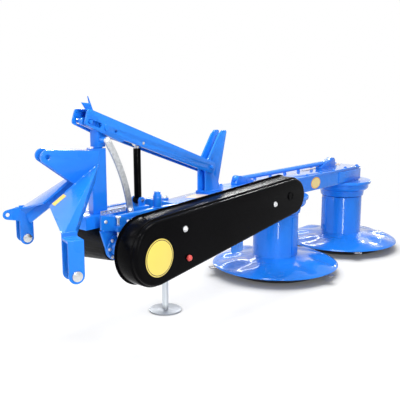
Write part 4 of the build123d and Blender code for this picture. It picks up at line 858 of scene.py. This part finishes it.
# Swing post and its foot, painted, with the galvanised stay bolted on at both
# ends and a perforated latch bar along the foot's near side.
SPANGLE_SCALE = 110
SPANGLE_TONES = ((0.46, 0.48, 0.50), (0.62, 0.64, 0.66))
galvanised, nodes, links, shader = new_material("galvanised_spangle")
shader.inputs["Metallic"].default_value = 0.7
place = nodes.new("ShaderNodeTexCoord")
spangle = nodes.new("ShaderNodeTexVoronoi")
spangle.inputs["Scale"].default_value = SPANGLE_SCALE
links.new(place.outputs["Object"], spangle.inputs["Vector"])
crystals = nodes.new("ShaderNodeSeparateColor")
links.new(spangle.outputs["Color"], crystals.inputs[0])
links.new(tint(nodes, links, crystals.outputs[0], *SPANGLE_TONES), shader.inputs["Base Color"])
links.new(patches(nodes, links, 70, 0.34, 0.5), shader.inputs["Roughness"])
dress("post_foot", blue, "blue_paint", 0.003)
dress("swing_post", blue, "blue_paint", 0.002)
dress("stay", galvanised, "galvanised", 0.0012)
STAY_FACE = -0.066
stay_places = [((-1.352, STAY_FACE, 0.884), NEAR), ((-1.230, STAY_FACE, 0.570), NEAR)]
LATCH_BAR = ((-1.398, -0.064, 0.571), (-1.259, -0.060, 0.589))
LATCH_STUD = ((-1.302, -0.061, 0.556), (-1.272, -0.049, 0.575))
LATCH_HOLE_RADIUS = 0.0045
LATCH_HOLE_START = -1.386
LATCH_HOLE_PITCH = 0.019
LATCH_HOLE_COUNT = 6
LATCH_HOLE_SIDES = 20
LATCH_DRILL = 0.03


def block(work, low, high):
    # A plain block between two corners.
    made = bmesh.ops.create_cube(work, size=1.0)["verts"]
    for vert in made:
        vert.co = [low[k] + (vert.co[k] + 0.5) * (high[k] - low[k]) for k in range(3)]


def loose(name, work):
    # A bmesh made into an object of the scene.
    mesh = bpy.data.meshes.new(name)
    work.to_mesh(mesh)
    work.free()
    piece = bpy.data.objects.new(name, mesh)
    scene.collection.objects.link(piece)
    return piece


work = bmesh.new()
block(work, *LATCH_BAR)
latch_bar = loose("latch_bar", work)
work = bmesh.new()
latch_middle = (Vector(LATCH_BAR[0]) + Vector(LATCH_BAR[1])) / 2
for step in range(LATCH_HOLE_COUNT):
    hole_x = LATCH_HOLE_START + LATCH_HOLE_PITCH * step
    drill = bmesh.ops.create_cone(
        work, cap_ends=True, segments=LATCH_HOLE_SIDES, depth=LATCH_DRILL,
        radius1=LATCH_HOLE_RADIUS, radius2=LATCH_HOLE_RADIUS,
    )["verts"]
    for vert in drill:
        vert.co = (hole_x + vert.co.x, latch_middle.y + vert.co.z, latch_middle.z - vert.co.y)
drills = loose("latch_drills", work)
cut = latch_bar.modifiers.new("holes", "BOOLEAN")
cut.object = drills
cut.solver = "EXACT"
fit(plain(latch_bar), zinc, "galvanised", "post_carrier")
bpy.data.objects.remove(drills)
work = bmesh.new()
block(work, *LATCH_STUD)
fit(loose("latch_stud", work), blue, "blue_paint", "post_carrier")
screws(
    "stay_screws", "post_carrier", zinc, "galvanised", stay_places,
    Head_Radius=0.0105, Head_Height=0.006, Washer_Radius=0.0145,
)


# Boom, hose hook and lift cylinder: flat bar and plate in the same enamel, a
# black gloss barrel, and a chromed rod.
dress("boom", blue, "blue_paint", 0.0015)
dress("hose_hook", blue, "blue_paint", 0.001)
dress("barrel", black_guard, "black_paint", 0.0015)
dress("rod", bright_steel, "bright_steel", 0.001)


# Headstock: a square column on the post with plate horns, creased plate legs
# and forked link brackets, all welded.
for node in (
    "pivot_column", "horn_near", "horn_far", "horn_spacer",
    "leg_near", "leg_far", "bracket_near", "bracket_far",
):
    dress(node, blue, "blue_paint", 0.0025, 3)


HITCH_TURN = radians(70.9)
POST_PLACE = (-1.352, 0.0)


def hitch(across, forward, height):
    # A place on the headstock, which is swung round its post.
    return Vector((
        POST_PLACE[0] + across * cos(HITCH_TURN) - forward * sin(HITCH_TURN),
        POST_PLACE[1] + across * sin(HITCH_TURN) + forward * cos(HITCH_TURN),
        height,
    ))


HORN_SIDE = 0.045
WELD_ENDS = ((0.030, 0.777), (0.165, 0.678))
leg_welds = [[hitch(side * HORN_SIDE, *end) for end in WELD_ENDS] for side in (-1, 1)]
seams("headstock_welds", "headstock", leg_welds, 0.003)


# Sticker of the near leg: blank yellow film, stuck flat on the paint by the
# leg's upper edge.
yellow_film = film_finish("yellow_leg_film", (0.74, 0.50, 0.05), (0.82, 0.58, 0.08))
LEG_TOP = hitch(-0.044, 0.018, 0.786)
LEG_CREASE = hitch(-0.044, 0.235, 0.627)
LEG_FOOT = hitch(-0.3025, 0.261, 0.566)
FILM_ALONG = 0.045
FILM_INWARD = 0.018
FILM_HALF_LENGTH = 0.031
FILM_HALF_WIDTH = 0.015
along = (LEG_TOP - LEG_CREASE).normalized()
facet = along.cross(LEG_FOOT - LEG_CREASE).normalized()
inward = facet.cross(along)
middle = LEG_CREASE + along * FILM_ALONG + inward * FILM_INWARD
corners = [
    middle + along * side * FILM_HALF_LENGTH + inward * depth * FILM_HALF_WIDTH
    for side, depth in ((-1, -1), (-1, 1), (1, 1), (1, -1))
]
film("leg_sticker", "headstock", yellow_film, corners, 0.0004)
